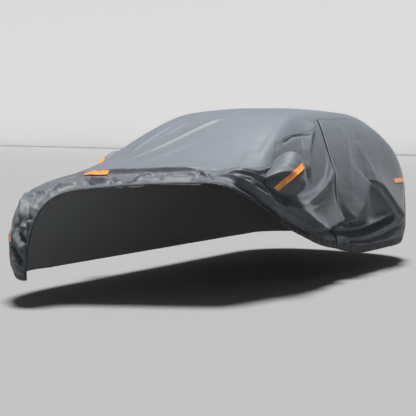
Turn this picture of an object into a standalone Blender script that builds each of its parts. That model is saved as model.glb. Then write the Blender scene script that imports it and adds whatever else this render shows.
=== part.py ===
"""Fitted cover of coated cloth, hanging hollow from one point under its roof.

Set-out frame, in metres: X to the cover's left side, Y from the seam across its
front deck to its tail, Z up from the floor. The finished part is moved so that
its origin is the hanging point. The right front is drawn down over its corner;
the left front is pulled back over the deck, so the hem climbs across it.
"""
import bmesh
import bpy
import numpy as np
from mathutils.bvhtree import BVHTree
from mathutils.geometry import delaunay_2d_cdt

for old_object in list(bpy.data.objects):
    bpy.data.objects.remove(old_object, do_unlink=True)

# ------------------------------------------------------------ driving sizes
HANG_POINT = np.array((0.0, 1.75, 1.493))

CLOTH = 0.002              # coated cloth
HEM_CLOTH = 0.005          # the turned hem with its elastic
HEM_WIDTH = 0.045
SEAM_GAP = 0.0006          # between the cut edges of two panels
WELD_DISTANCE = 0.00001    # points closer than this become one

HALF_WIDTH = 0.925
NOSE_Y = -0.965
TAIL_Y = 3.565
NOSE_LENGTH = 1.15         # over which the plan rounds in to the nose
TAIL_LENGTH = 0.80
NOSE_SQUARENESS = 3.1
TAIL_SQUARENESS = 2.7
FOOT_Z = 0.18
SHOULDER = 0.30            # width over which the walls turn into the top
SHOULDER_SQUARENESS = 4.0
FOOT_TUCK = 0.05           # the elastic draws the foot of the wall in
FOOT_TUCK_HEIGHT = 0.22

ROOF_CAMBER = 0.040
ROOF_HALF_WIDTH = 0.57
CABIN_FOOT_Z = 1.0
CABIN_FOOT_HALF_WIDTH = 0.85
CABIN_SIDE_SLOPE = 1.75
SCREEN_FOOT_Y = 0.36
SCREEN_FOOT_Z = 1.062
SCREEN_SLOPE = 0.475
SCREEN_BOW = 0.26
TAIL_TOP_Y = 3.00
TAIL_TOP_Z = 1.36
TAIL_SLOPE = 0.80
TAIL_BOW = 0.25
DECK_CAMBER = 0.04
DECK_HALF_WIDTH = 0.90
# Heights over which two of these forms run into each other
SIDE_BLEND = 0.16
SCREEN_BLEND = 0.10
TAIL_BLEND = 0.20
DECK_BLEND = 0.10
NORMAL_STEP = 0.012        # half the distance over which the form's slope is taken
DROP_SAMPLES = 120         # points on one line of cloth down the form
HEM_SAMPLES = 800          # places at which the hem is looked for on it
RIM_SEARCHES = 50          # halvings that find where the line leaves the plan
TURN_SHARE = 0.2           # share of the line where it turns into the wall, sampled finer
CREASE_ANGLE = 50          # edges sharper than this are shaded sharp

# Centre line of the lower body and of the roof: y, height
DECK_LINE = [
    (-0.97, 0.71), (-0.80, 0.815), (-0.50, 0.90), (0.00, 0.98), (0.45, 1.03),
    (1.20, 1.00), (2.40, 1.02), (3.20, 1.03), (3.50, 0.98),
]
ROOF_LINE = [
    (0.90, 1.415), (1.30, 1.466), (1.70, 1.495), (2.10, 1.496), (2.50, 1.475),
    (2.90, 1.410), (3.30, 1.29),
]

# Stations round the cover. Each row is a line of cloth from the seam of the top
# panel down to the hem: seam x, seam y, hem x, hem y, hem z
FRONT_STATIONS = [
    (-0.600, 0.000, -0.880, -0.33, 0.19),
    (-0.575, -0.020, -0.800, -0.68, 0.19),
    (-0.545, -0.035, -0.680, -0.82, 0.19),
    (-0.510, -0.050, -0.560, -0.89, 0.19),
    (-0.475, -0.060, -0.455, -0.92, 0.20),
    (-0.440, -0.070, -0.385, -0.94, 0.38),
    (-0.405, -0.075, -0.350, -0.92, 0.59),
    (-0.365, -0.075, -0.324, -0.865, 0.72),
    (-0.310, -0.070, -0.285, -0.744, 0.814),
    (-0.240, -0.060, -0.220, -0.630, 0.865),
    (-0.130, -0.035, -0.120, -0.570, 0.880),
    (-0.010, 0.000, 0.010, -0.510, 0.895),
    (0.110, 0.040, 0.130, -0.435, 0.906),
    (0.235, 0.080, 0.290, -0.355, 0.917),
    (0.360, 0.110, 0.450, -0.280, 0.922),
    (0.480, 0.130, 0.600, -0.190, 0.927),
]
LEFT_STATIONS = [
    (0.480, 0.130, 0.600, -0.190, 0.927),
    (0.610, 0.220, 0.760, -0.105, 0.910),
    (0.735, 0.310, 0.850, 0.020, 0.857),
    (0.795, 0.430, 0.893, 0.220, 0.777),
    (0.800, 0.600, 0.913, 0.455, 0.672),
    (0.745, 0.800, 0.921, 0.744, 0.524),
    (0.700, 1.050, 0.924, 0.960, 0.448),
    (0.688, 1.300, 0.924, 1.170, 0.376),
    (0.672, 1.550, 0.922, 1.370, 0.323),
    (0.607, 1.790, 0.915, 1.580, 0.285),
    (0.604, 2.050, 0.905, 1.850, 0.230),
    (0.603, 2.330, 0.878, 2.200, 0.185),
    (0.602, 2.600, 0.875, 2.550, 0.18),
    (0.592, 2.850, 0.875, 2.880, 0.18),
    (0.570, 3.050, 0.830, 3.200, 0.19),
    (0.540, 3.220, 0.690, 3.430, 0.19),
]
TAIL_STATIONS = [
    (0.540, 3.220, 0.690, 3.430, 0.19),
    (0.270, 3.290, 0.350, 3.545, 0.19),
    (0.000, 3.310, 0.000, 3.565, 0.19),
    (-0.270, 3.290, -0.350, 3.545, 0.19),
    (-0.540, 3.220, -0.690, 3.430, 0.19),
]
RIGHT_STATIONS = [
    (-0.540, 3.220, -0.690, 3.430, 0.19),
    (-0.570, 3.050, -0.830, 3.200, 0.19),
    (-0.592, 2.850, -0.875, 2.880, 0.18),
    (-0.602, 2.600, -0.875, 2.550, 0.18),
    (-0.603, 2.200, -0.875, 2.120, 0.18),
    (-0.640, 1.700, -0.875, 1.620, 0.18),
    (-0.690, 1.250, -0.875, 1.180, 0.18),
    (-0.740, 0.850, -0.875, 0.780, 0.18),
    (-0.790, 0.550, -0.875, 0.420, 0.18),
    (-0.730, 0.220, -0.875, 0.020, 0.18),
    (-0.600, 0.000, -0.880, -0.330, 0.19),
]
# Columns along the seam and rows from the seam to the hem, finest where the folds are
FRONT_GRID = (40, 18)
LEFT_GRID = (55, 26)
TAIL_GRID = (14, 9)
RIGHT_GRID = (30, 11)
ZIP_COLUMN = 33
TOP_SPACING = 0.105        # between the points inside the top panel
TOP_ROW_SPACING = 0.091    # between its rows, which are staggered
TOP_CLEARANCE = 0.063      # from these points to the seam

# The hoods of the mirror pockets: the cells of the side panel that the mouth takes,
# and the tip that the hood reaches out to
LEFT_MOUTH = dict(columns=(13, 20), rows=(2, 17))
RIGHT_MOUTH = dict(columns=(20, 23), rows=(1, 4))
LEFT_TIP = (1.030, 0.75, 0.955)
RIGHT_TIP = (-0.945, 0.70, 0.97)
POCKET_RINGS = 8
LEFT_ROUNDNESS = 2.0       # 2 is a round hood, more is a boxier one
RIGHT_ROUNDNESS = 3.6
LEFT_LIFT = 0.080          # the hood's crown stands above its mouth
RIGHT_LIFT = 0.030
POCKET_COLLAR = 0.004      # height of the hood's foot above the panel
MOUTH_REACH = 2.0          # the grid round a mouth is drawn oval out to twice its size

# Reflective strips and the zip: path, half width. Their lift clears the facets below.
SEWN_LIFT = 0.0009
POCKET_STRIP_LIFT = 0.0034  # over the strongly curved hoods
SEWN_REACH = 0.3           # the look down at the cloth below starts this far out
SEWN_CHECKS = 12           # looks to each cell of a sewn-on piece
STRIP_STEPS = 10
TAPE = 0.0012
TAPE_HALF_WIDTH = 0.022
ZIP_HALF_WIDTH = 0.010
ZIP_THICKNESS = 0.003
PIPING_HALF_WIDTH = 0.003
PIPING_THICKNESS = 0.004
PIPING_OFFSET = 0.0145     # from the middle of the zip, towards the tail
SLIDER_HALF_WIDTH = 0.007
SLIDER_THICKNESS = 0.004
SLIDER_ENDS = (0.095, 0.060)  # above the hem, where the closed zip's slider rests
ZIP_END_MARGIN = 0.025
LEFT_POCKET_MIDDLE = (0.87, 0.76, 0.90)
RIGHT_POCKET_MIDDLE = (-0.86, 0.80, 0.95)
STRIPS = dict(
    strip_left_pocket=[
        (0.925, 0.515, 0.860), (0.960, 0.530, 0.895), (0.985, 0.560, 0.925), (1.005, 0.605, 0.955),
        (1.025, 0.650, 0.990), (1.015, 0.740, 1.015), (0.995, 0.800, 1.030)],
    strip_right_pocket=[(-0.905, 0.600, 0.985), (-0.905, 0.625, 1.020), (-0.895, 0.660, 1.050)],
    strip_front=[(-0.500, -0.105, 0.960), (-0.360, -0.135, 0.965), (-0.245, -0.120, 0.965)],
    strip_corner=[(-0.800, -0.660, 0.500), (-0.730, -0.770, 0.500), (-0.620, -0.850, 0.500)],
    strip_tail=[(0.900, 2.800, 0.810), (0.860, 3.080, 0.800)],
)

FOLD_DEPTH = 0.10          # a fold reaches cloth this far in or out from its path
FOLD_SOFTNESS = 1.5        # 2 is a soft crest, 1 a pinched one

# Main folds. Each is a ridge (or a trough, where the height is negative) along a
# path on the form. The widths are those to the left and right of the path.
FOLDS = [
    # the roll where the front band is turned back over the deck
    dict(height=0.046, left=0.12, right=0.024, ends=(0.12, 0.60), path=[
        (-0.66, -0.01, 0.95), (-0.50, -0.07, 0.96), (-0.36, -0.09, 0.96), (-0.13, -0.06, 0.97),
        (0.11, 0.02, 0.98), (0.36, 0.10, 0.98), (0.54, 0.11, 0.98)]),
    # ridge between the loose hem and the taut cloth, over the corner and along the side
    dict(height=0.042, left=0.030, right=0.030, ends=(0.10, 0.15), path=[
        (0.46, 0.09, 0.98), (0.62, 0.10, 0.98), (0.71, 0.12, 0.97), (0.81, 0.13, 0.94),
        (0.86, 0.22, 0.88), (0.89, 0.35, 0.81), (0.91, 0.48, 0.74), (0.92, 0.67, 0.66),
        (0.92, 0.91, 0.55), (0.92, 1.24, 0.42), (0.93, 1.51, 0.35), (0.93, 1.96, 0.25)]),
    # broad fold from the deck towards the mirror, and a second one behind it
    dict(height=0.060, left=0.10, right=0.030, ends=(0.25, 0.30), path=[
        (0.50, 0.23, 1.00), (0.62, 0.27, 1.00), (0.74, 0.32, 1.00), (0.82, 0.42, 0.97),
        (0.85, 0.54, 0.94)]),
    dict(height=0.028, left=0.050, right=0.026, ends=(0.3, 0.3), path=[
        (0.58, 0.37, 1.03), (0.72, 0.42, 1.02), (0.80, 0.56, 1.01)]),
    # lower edge of the taut front side panel, and the hollow under it
    dict(height=0.070, left=0.12, right=0.032, ends=(0.20, 0.15), path=[
        (0.87, 0.39, 0.89), (0.89, 0.47, 0.82), (0.90, 0.60, 0.78), (0.91, 0.76, 0.70),
        (0.92, 0.94, 0.62), (0.92, 1.14, 0.54), (0.92, 1.26, 0.48), (0.92, 1.42, 0.46),
        (0.92, 1.58, 0.52)]),
    dict(height=-0.030, left=0.030, right=0.030, ends=(0.2, 0.2), path=[
        (0.91, 0.60, 0.70), (0.92, 0.75, 0.64), (0.92, 0.93, 0.56), (0.92, 1.14, 0.47),
        (0.92, 1.29, 0.42), (0.92, 1.52, 0.41)]),
    # crescents that hang from the pocket towards the zip
    dict(height=0.042, left=0.050, right=0.028, ends=(0.3, 0.3), path=[
        (0.91, 0.64, 0.76), (0.91, 0.80, 0.74), (0.91, 1.00, 0.74), (0.90, 1.23, 0.78),
        (0.89, 1.43, 0.83), (0.86, 1.60, 0.92)]),
    dict(height=0.028, left=0.045, right=0.026, ends=(0.3, 0.3), path=[
        (0.92, 0.92, 0.65), (0.92, 1.13, 0.66), (0.91, 1.32, 0.69), (0.90, 1.53, 0.76)]),
    # fold from the head of the zip to the pocket, and the hollow between it and the zip
    dict(height=0.050, left=0.032, right=0.10, ends=(0.10, 0.10), path=[
        (0.62, 1.75, 1.37), (0.70, 1.54, 1.24), (0.76, 1.35, 1.12), (0.80, 1.25, 1.04)]),
    dict(height=-0.032, left=0.055, right=0.055, ends=(0.3, 0.3), path=[
        (0.70, 1.69, 1.25), (0.77, 1.56, 1.12), (0.82, 1.47, 1.00), (0.87, 1.43, 0.88)]),
    # the gathered quarter before the tail: its two edges and the hollow between them
    dict(height=0.080, left=0.040, right=0.12, ends=(0.25, 0.12), path=[
        (0.88, 2.39, 0.85), (0.89, 2.26, 0.81), (0.91, 2.14, 0.71), (0.92, 2.05, 0.61),
        (0.92, 1.96, 0.54), (0.92, 1.83, 0.52)]),
    dict(height=0.055, left=0.14, right=0.045, ends=(0.2, 0.2), path=[
        (0.88, 2.39, 0.85), (0.90, 2.51, 0.76), (0.91, 2.63, 0.68), (0.92, 2.76, 0.57),
        (0.92, 2.86, 0.51), (0.89, 3.10, 0.39)]),
    dict(height=-0.045, left=0.090, right=0.090, ends=(0.3, 0.3), path=[
        (0.91, 2.37, 0.75), (0.92, 2.36, 0.64), (0.92, 2.37, 0.53)]),
    # swooping folds over the hem behind the zip
    dict(height=-0.045, left=0.038, right=0.032, ends=(0.15, 0.3), path=[
        (0.92, 1.64, 0.47), (0.92, 1.93, 0.42), (0.92, 2.20, 0.42), (0.92, 2.54, 0.46),
        (0.92, 2.80, 0.52)]),
    dict(height=0.042, left=0.032, right=0.030, ends=(0.2, 0.3), path=[
        (0.93, 1.66, 0.34), (0.93, 1.94, 0.34), (0.93, 2.33, 0.35), (0.93, 2.62, 0.38),
        (0.92, 2.90, 0.43)]),
    dict(height=-0.026, left=0.022, right=0.022, ends=(0.2, 0.2), path=[
        (0.93, 1.85, 0.30), (0.93, 2.20, 0.29), (0.93, 2.47, 0.31), (0.93, 2.76, 0.35),
        (0.89, 3.08, 0.38)]),
    # longest crease of the screen slope
    dict(height=0.016, left=0.045, right=0.028, ends=(0.1, 0.3), path=[
        (0.05, 1.15, 1.40), (-0.07, 1.03, 1.36), (-0.14, 0.86, 1.29), (-0.22, 0.72, 1.21),
        (-0.30, 0.60, 1.15), (-0.44, 0.53, 1.11), (-0.62, 0.41, 1.04)]),
    # crumpled cloth of the front band, over the right corner
    dict(height=-0.030, left=0.055, right=0.035, ends=(0.2, 0.4), path=[
        (-0.56, -0.09, 0.95), (-0.54, -0.19, 0.94), (-0.56, -0.33, 0.92), (-0.64, -0.48, 0.88)]),
    dict(height=0.036, left=0.045, right=0.045, ends=(0.3, 0.3), path=[
        (-0.54, -0.48, 0.89), (-0.47, -0.64, 0.86), (-0.43, -0.78, 0.79)]),
    dict(height=-0.032, left=0.040, right=0.040, ends=(0.3, 0.3), path=[
        (-0.62, -0.65, 0.82), (-0.52, -0.80, 0.75), (-0.48, -0.87, 0.66), (-0.49, -0.89, 0.57),
        (-0.45, -0.92, 0.47)]),
    dict(height=0.020, left=0.045, right=0.035, ends=(0.3, 0.3), path=[
        (-0.70, -0.62, 0.80), (-0.66, -0.72, 0.70), (-0.60, -0.82, 0.60), (-0.56, -0.87, 0.45)]),
    dict(height=-0.034, left=0.035, right=0.035, ends=(0.3, 0.3), path=[
        (-0.76, -0.70, 0.64), (-0.66, -0.80, 0.54), (-0.53, -0.89, 0.43), (-0.42, -0.93, 0.34)]),
    dict(height=0.030, left=0.035, right=0.035, ends=(0.3, 0.3), path=[
        (-0.74, -0.74, 0.40), (-0.60, -0.85, 0.33), (-0.44, -0.92, 0.29)]),
]


# ------------------------------------------------------------ the form under the cloth
def blend_min(first, second, soft):
    share = np.clip(0.5 + 0.5 * (second - first) / soft, 0.0, 1.0)
    return second * (1 - share) + first * share - soft * share * (1 - share)


def blend_max(first, second, soft):
    return -blend_min(-first, -second, soft)


def smooth_table(rows, at):
    """Values of a table's columns at positions of its first column, without overshoot."""
    rows = np.asarray(rows, float)
    keys, values = rows[:, 0], rows[:, 1:]
    steps = np.diff(values, axis=0) / np.diff(keys)[:, None]
    slopes = np.vstack([steps[:1], np.zeros_like(values[1:-1]), steps[-1:]])
    product = steps[:-1] * steps[1:]
    rising = product > 0
    total = np.where(rising, steps[:-1] + steps[1:], 1.0)
    slopes[1:-1] = np.where(rising, 2 * product / total, 0.0)
    at = np.clip(np.asarray(at, float), keys[0], keys[-1])
    row = np.clip(np.searchsorted(keys, at, side="right") - 1, 0, len(keys) - 2)
    width = (keys[row + 1] - keys[row])[..., None]
    t = (at[..., None] - keys[row][..., None]) / width
    return (
        (2 * t**3 - 3 * t**2 + 1) * values[row]
        + (t**3 - 2 * t**2 + t) * width * slopes[row]
        + (3 * t**2 - 2 * t**3) * values[row + 1]
        + (t**3 - t**2) * width * slopes[row + 1]
    )


def top_height(x, y):
    """Height of the cloth over the deck and the cabin, before the walls drop away."""
    out = np.abs(x)
    deck = smooth_table(DECK_LINE, y)[..., 0] - DECK_CAMBER * (out / DECK_HALF_WIDTH) ** 2
    roof = smooth_table(ROOF_LINE, y)[..., 0] - ROOF_CAMBER * (out / ROOF_HALF_WIDTH) ** 2
    side = CABIN_FOOT_Z + (CABIN_FOOT_HALF_WIDTH - out) * CABIN_SIDE_SLOPE
    screen = SCREEN_FOOT_Z + (y - SCREEN_FOOT_Y - SCREEN_BOW * out**2) * SCREEN_SLOPE
    tail = TAIL_TOP_Z - (y - TAIL_TOP_Y + TAIL_BOW * out**2) * TAIL_SLOPE
    cabin = blend_min(roof, side, SIDE_BLEND)
    cabin = blend_min(cabin, screen, SCREEN_BLEND)
    cabin = blend_min(cabin, tail, TAIL_BLEND)
    return blend_max(deck, cabin, DECK_BLEND)


def rim_share(x, y):
    """0 on the middle line, 1 on the rim of the plan."""
    across = np.abs(x) / HALF_WIDTH
    nose = np.maximum(0.0, NOSE_Y + NOSE_LENGTH - y) / NOSE_LENGTH
    tail = np.maximum(0.0, y - TAIL_Y + TAIL_LENGTH) / TAIL_LENGTH
    power = np.where(nose > 0, NOSE_SQUARENESS, TAIL_SQUARENESS)
    return (across**power + nose**power + tail**power) ** (1 / power)


SHOULDER_SHARE = 1 - SHOULDER / HALF_WIDTH


def shoulder_share(x, y):
    return np.maximum(0.0, rim_share(x, y) - SHOULDER_SHARE) / (1 - SHOULDER_SHARE)


def form_height(x, y):
    drop = np.minimum(1.0, shoulder_share(x, y)) ** SHOULDER_SQUARENESS
    return FOOT_Z + (top_height(x, y) - FOOT_Z) * (1 - drop) ** (1 / SHOULDER_SQUARENESS)


def form_level(points):
    x, y, z = np.moveaxis(points, -1, 0)
    rise = (z - FOOT_Z) / (top_height(x, y) - FOOT_Z)
    return shoulder_share(x, y) ** SHOULDER_SQUARENESS + np.sign(rise) * np.abs(rise) ** SHOULDER_SQUARENESS


def form_normal(points):
    """Outward directions of the form, from the slope of its level function."""
    steps = NORMAL_STEP * np.eye(3)
    slope = np.stack([form_level(points + step) - form_level(points - step) for step in steps], axis=-1)
    return slope / np.linalg.norm(slope, axis=-1, keepdims=True)


def drop_line(seam, hem):
    """The form from a seam point out through the hem's place and down to the foot."""
    seam, hem = np.asarray(seam, float), np.asarray(hem, float)
    way = hem[:2] - seam
    near, far = 0.0, 6.0
    for _ in range(RIM_SEARCHES):
        middle = 0.5 * (near + far)
        inside = rim_share(*(seam + middle * way)) < 1
        near, far = (middle, far) if inside else (near, middle)
    shares = np.linspace(0, 1, DROP_SAMPLES)
    turn = np.sin(shares * np.pi / 2) ** (2 / SHOULDER_SQUARENESS)
    shares = np.unique(np.concatenate([(1 - TURN_SHARE) * shares, 1 - TURN_SHARE * (1 - turn)]))
    plan = seam + np.outer(shares * near, way)
    return np.column_stack([plan, form_height(plan[:, 0], plan[:, 1])])


def length_along(line):
    return np.concatenate([[0.0], np.cumsum(np.linalg.norm(np.diff(line, axis=0), axis=1))])


def at_length(line, lengths):
    along = length_along(line)
    return np.column_stack([np.interp(lengths, along, line[:, axis]) for axis in range(3)])


# ------------------------------------------------------------ cloth on the form
def fold_relief(points, normals, fold):
    """Height that one fold adds: a soft ridge along its path, faded out to its ends."""
    path = np.array(fold["path"], float)
    lengths = length_along(path)
    nearest = np.full(points.shape[:-1], np.inf)
    relief = np.zeros(points.shape[:-1])
    for start, end, along in zip(path[:-1], path[1:], lengths):
        way = end - start
        reach = np.linalg.norm(way)
        way = way / reach
        share = np.clip((points - start) @ way, 0, reach)
        away = points - (start + share[..., None] * way)
        depth = np.abs(np.sum(away * normals, axis=-1))
        away = away - np.sum(away * normals, axis=-1, keepdims=True) * normals
        distance = np.hypot(np.linalg.norm(away, axis=-1), np.maximum(0.0, depth - FOLD_DEPTH))
        left = np.sum(np.cross(normals, way) * away, axis=-1) > 0
        width = np.where(left, fold["left"], fold["right"])
        place = (along + share) / lengths[-1]
        rise = np.clip(place / fold["ends"][0], 0, 1) * np.clip((1 - place) / fold["ends"][1], 0, 1)
        height = fold["height"] * np.sin(rise * np.pi / 2) * np.exp(-((distance / width) ** FOLD_SOFTNESS))
        relief = np.where(distance < nearest, height, relief)
        nearest = np.minimum(distance, nearest)
    return relief


def lay_cloth(points):
    """Move form points out by the folds, and in where the elastic draws the foot in."""
    normals = form_normal(points)
    relief = sum(fold_relief(points, normals, fold) for fold in FOLDS)
    tuck = np.clip(1 - (points[..., 2] - FOOT_Z) / FOOT_TUCK_HEIGHT, 0, 1) ** 2
    return points + normals * (relief - FOOT_TUCK * tuck)[..., None], normals


def station_at(stations, share):
    keys = np.linspace(0, 1, len(stations))
    rows = np.column_stack([keys, np.array(stations)])
    return smooth_table(rows, share)


def cloth_line(station):
    """The form from the seam down, and the length of cloth on it from seam to hem."""
    line = drop_line(station[:2], station[2:])
    lengths = np.linspace(0, length_along(line)[-1], HEM_SAMPLES)
    nearest = np.argmin(np.linalg.norm(at_length(line, lengths) - station[2:], axis=1))
    return line, lengths[nearest]


def skirt_points(stations, columns, rows, mouth=None):
    """Grid of form points, columns along the seam and rows from the seam to the hem."""
    grid = []
    for row in station_at(stations, np.linspace(0, 1, columns + 1)):
        line, reach = cloth_line(row)
        lengths = np.append(np.linspace(0, reach - HEM_WIDTH, rows), reach)
        grid.append(at_length(line, lengths))
    grid = np.array(grid)
    if mouth:
        for (column, row), place in rounded_places(mouth, columns, rows).items():
            line, reach = cloth_line(station_at(stations, place[0] / columns))
            grid[column, row] = at_length(line, [(reach - HEM_WIDTH) * place[1] / (rows - 1)])[0]
    return grid


def rounded_places(mouth, columns, rows):
    """Where the grid's crossings near a square mouth go, so that the mouth is oval."""
    (first, last), (upper, lower) = mouth["columns"], mouth["rows"]
    middle = np.array([(first + last) / 2, (upper + lower) / 2])
    half = np.array([(last - first) / 2, (lower - upper) / 2])
    places = {}
    for column in range(1, columns):
        for row in range(1, rows - 1):
            away = (np.array([column, row]) - middle) / half
            square, circle = np.max(np.abs(away)), np.hypot(*away)
            if 1 <= square < MOUTH_REACH:
                fade = ((MOUTH_REACH - square) / (MOUTH_REACH - 1)) ** 2
                places[column, row] = middle + half * away * (1 + fade * (square / circle - 1))
    return places


def top_points(front, left, tail, right):
    """Form points and triangles of the panel inside the four seams."""
    edge = np.concatenate([seam[:-1] for seam in (front, left, tail, right)])
    low, high = edge.min(axis=0), edge.max(axis=0)
    inner = []
    for row, y in enumerate(np.arange(low[1], high[1], TOP_ROW_SPACING)):
        for x in np.arange(low[0] + (row % 2) * TOP_SPACING / 2, high[0], TOP_SPACING):
            clear = np.min(np.linalg.norm(edge - (x, y), axis=1)) > TOP_CLEARANCE
            if clear and inside_loop((x, y), edge):
                inner.append((x, y))
    plan = np.concatenate([edge, inner])
    loop = [(corner, (corner + 1) % len(edge)) for corner in range(len(edge))]
    faces = delaunay_2d_cdt(plan.tolist(), loop, [], 1, 1e-6)[2]
    points = np.column_stack([plan, form_height(plan[:, 0], plan[:, 1])])
    return points, [tuple(face) for face in faces], list(range(len(edge)))


def inside_loop(point, loop):
    """Whether a level line out from the point crosses the loop an odd number of times."""
    beyond = np.roll(loop, -1, axis=0)
    crosses = (loop[:, 1] > point[1]) != (beyond[:, 1] > point[1])
    rise = np.where(crosses, beyond[:, 1] - loop[:, 1], 1.0)
    where = loop[:, 0] + (beyond[:, 0] - loop[:, 0]) * (point[1] - loop[:, 1]) / rise
    return np.count_nonzero(crosses & (point[0] < where)) % 2 == 1


def skirt_border(columns, rows):
    """Corners round a grid, seen from outside, and which of their edges are sewn."""
    down = [row for row in range(rows - 1)]
    hem = [column * rows + rows - 1 for column in range(columns - 1)]
    up = [(columns - 1) * rows + row for row in range(rows - 1, 0, -1)]
    back = [column * rows for column in range(columns - 1, 0, -1)]
    sewn = [True] * len(down) + [False] * len(hem) + [True] * (len(up) + len(back))
    return down + hem + up + back, sewn


def draw_in(points, normals, border, sewn, gap=SEAM_GAP / 2):
    """Shorten a panel at its sewn edges, so that it keeps clear of its neighbours."""
    shift = np.zeros_like(points)
    ways = points[border[1:] + border[:1]] - points[border]
    for number, corner in enumerate(border):
        inward = [np.cross(normals[corner], ways[side]) for side in (number - 1, number) if sewn[side]]
        inward = [way / np.linalg.norm(way) for way in inward]
        if len(inward) == 2:
            shift[corner] = gap * (inward[0] + inward[1]) / (1 + inward[0] @ inward[1])
        elif inward:
            shift[corner] = gap * inward[0]
    return shift


# ------------------------------------------------------------ objects
def cloth_material(name, colour, roughness):
    material = bpy.data.materials.new(name)
    material.use_nodes = True
    shader = material.node_tree.nodes["Principled BSDF"]
    shader.inputs["Base Color"].default_value = (*colour, 1)
    shader.inputs["Roughness"].default_value = roughness
    return material


PARTS = bpy.data.collections.new("fitted_cover")
bpy.context.scene.collection.children.link(PARTS)
GREY_CLOTH = cloth_material("grey_coated_cloth", (0.17, 0.20, 0.24), 0.55)
ORANGE_TAPE = cloth_material("orange_reflective_tape", (0.90, 0.33, 0.06), 0.35)
DARK_ZIP = cloth_material("dark_zip", (0.03, 0.035, 0.04), 0.45)
PALE_PIPING = cloth_material("pale_piping", (0.35, 0.38, 0.42), 0.5)


def grid_triangles(points, closed=False, hole=None):
    """Triangles of a grid of points, each cell split along its shorter diagonal."""
    columns, rows = points.shape[:2]
    triangles = []
    for column in range(columns if closed else columns - 1):
        for row in range(rows - 1):
            if hole and column in range(*hole["columns"]) and row in range(*hole["rows"]):
                continue
            beyond = (column + 1) % columns
            places = [(column, row), (column, row + 1), (beyond, row + 1), (beyond, row)]
            a, b, c, d = (place[0] * rows + place[1] for place in places)
            corners = [points[place] for place in places]
            falling = np.linalg.norm(corners[2] - corners[0])
            rising = np.linalg.norm(corners[3] - corners[1])
            triangles += [(a, b, c), (a, c, d)] if falling <= rising else [(a, b, d), (b, c, d)]
    return triangles


def add_sheet(name, outer, inner, triangles, material):
    """One closed sheet between two like sets of points, walled in along its free edges."""
    points = np.concatenate([outer, inner]) - HANG_POINT
    below = len(outer)
    faces = [list(face) for face in triangles]
    faces += [[below + corner for corner in reversed(face)] for face in triangles]
    edges = {(face[side - 1], face[side]) for face in triangles for side in range(3)}
    for start, end in sorted(edges):
        if (end, start) not in edges:
            under_start, under_end = below + start, below + end
            to_start = np.linalg.norm(points[end] - points[under_start])
            to_end = np.linalg.norm(points[start] - points[under_end])
            if to_start < to_end:
                faces += [[end, start, under_start], [end, under_start, under_end]]
            else:
                faces += [[end, start, under_end], [start, under_start, under_end]]
    mesh = bpy.data.meshes.new(name)
    mesh.from_pydata(points.tolist(), [], faces)
    mesh.materials.append(material)
    mesh.validate()
    mesh.shade_smooth()
    mesh.set_sharp_from_angle(angle=np.radians(CREASE_ANGLE))
    sheet = bpy.data.objects.new(name, mesh)
    PARTS.objects.link(sheet)
    return sheet


def add_skirt(name, form_points, hole=None):
    """A hemmed panel: form points moved by the folds, with the cloth's thickness inside."""
    columns, rows = form_points.shape[:2]
    flat = form_points.reshape(-1, 3)
    outer, normals = lay_cloth(flat)
    outer = outer + draw_in(flat, normals, *skirt_border(columns, rows))
    thickness = np.full((columns, rows), CLOTH)
    thickness[:, -1] = HEM_CLOTH
    inner = outer - normals * thickness.reshape(-1, 1)
    triangles = grid_triangles(outer.reshape(columns, rows, 3), hole=hole)
    add_sheet(name, outer, inner, triangles, GREY_CLOTH)
    return outer.reshape(columns, rows, 3), normals.reshape(columns, rows, 3)


def add_top(name, form_points, triangles, border):
    outer, normals = lay_cloth(form_points)
    outer = outer + draw_in(form_points, normals, border, [True] * len(border))
    add_sheet(name, outer, outer - CLOTH * normals, triangles, GREY_CLOTH)


def add_pocket(name, panel, normals, mouth, tip, lift, roundness):
    """A hood of cloth over an oval mouth in a side panel, open to the inside."""
    (first, last), (upper, lower) = mouth["columns"], mouth["rows"]
    loop = [(column, upper) for column in range(first, last)]
    loop += [(last, row) for row in range(upper, lower)]
    loop += [(column, lower) for column in range(last, first, -1)]
    loop += [(first, row) for row in range(lower, upper, -1)]
    edge = np.array([panel[place] for place in loop])
    up = np.array([normals[place] for place in loop])
    middle = edge.mean(axis=0)
    inward = (middle - edge) / np.linalg.norm(middle - edge, axis=-1, keepdims=True)
    edge = edge + SEAM_GAP * inward
    rings = [edge - CLOTH * up, edge + POCKET_COLLAR * up]
    reach = np.array(tip) - middle
    height = edge[:, 2] - middle[2]
    raised = np.clip(0.5 + 0.5 * height / height.max(), 0, 1)
    for turn in np.linspace(0, np.pi / 2, POCKET_RINGS + 1)[1:]:
        keep = max(0.0, np.cos(turn)) ** (2 / roundness)
        rise = np.sin(turn) ** (2 / roundness)
        crown = np.outer(lift * np.sin(2 * turn) * raised, (0.0, 0.0, 1.0))
        rings.append(middle + POCKET_COLLAR * up * keep + (edge - middle) * keep + reach * rise + crown)
    outer = np.array(rings).transpose(1, 0, 2)
    outer[:, -1] = np.array(tip)
    around = np.roll(outer, -1, axis=0) - np.roll(outer, 1, axis=0)
    facing = np.cross(np.gradient(outer, axis=1), around)
    facing *= np.sign(np.sum(facing[:, :-1] * (outer - middle)[:, :-1]))
    facing[:, -1] = reach
    facing /= np.linalg.norm(facing, axis=-1, keepdims=True)
    inner = outer - CLOTH * facing
    hood = add_sheet(name, outer.reshape(-1, 3), inner.reshape(-1, 3),
                     grid_triangles(outer, closed=True), GREY_CLOTH)
    weld(hood)


def weld(thing):
    shape = bmesh.new()
    shape.from_mesh(thing.data)
    bmesh.ops.remove_doubles(shape, verts=shape.verts, dist=WELD_DISTANCE)
    bmesh.ops.recalc_face_normals(shape, faces=shape.faces)
    shape.to_mesh(thing.data)
    shape.free()


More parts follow.
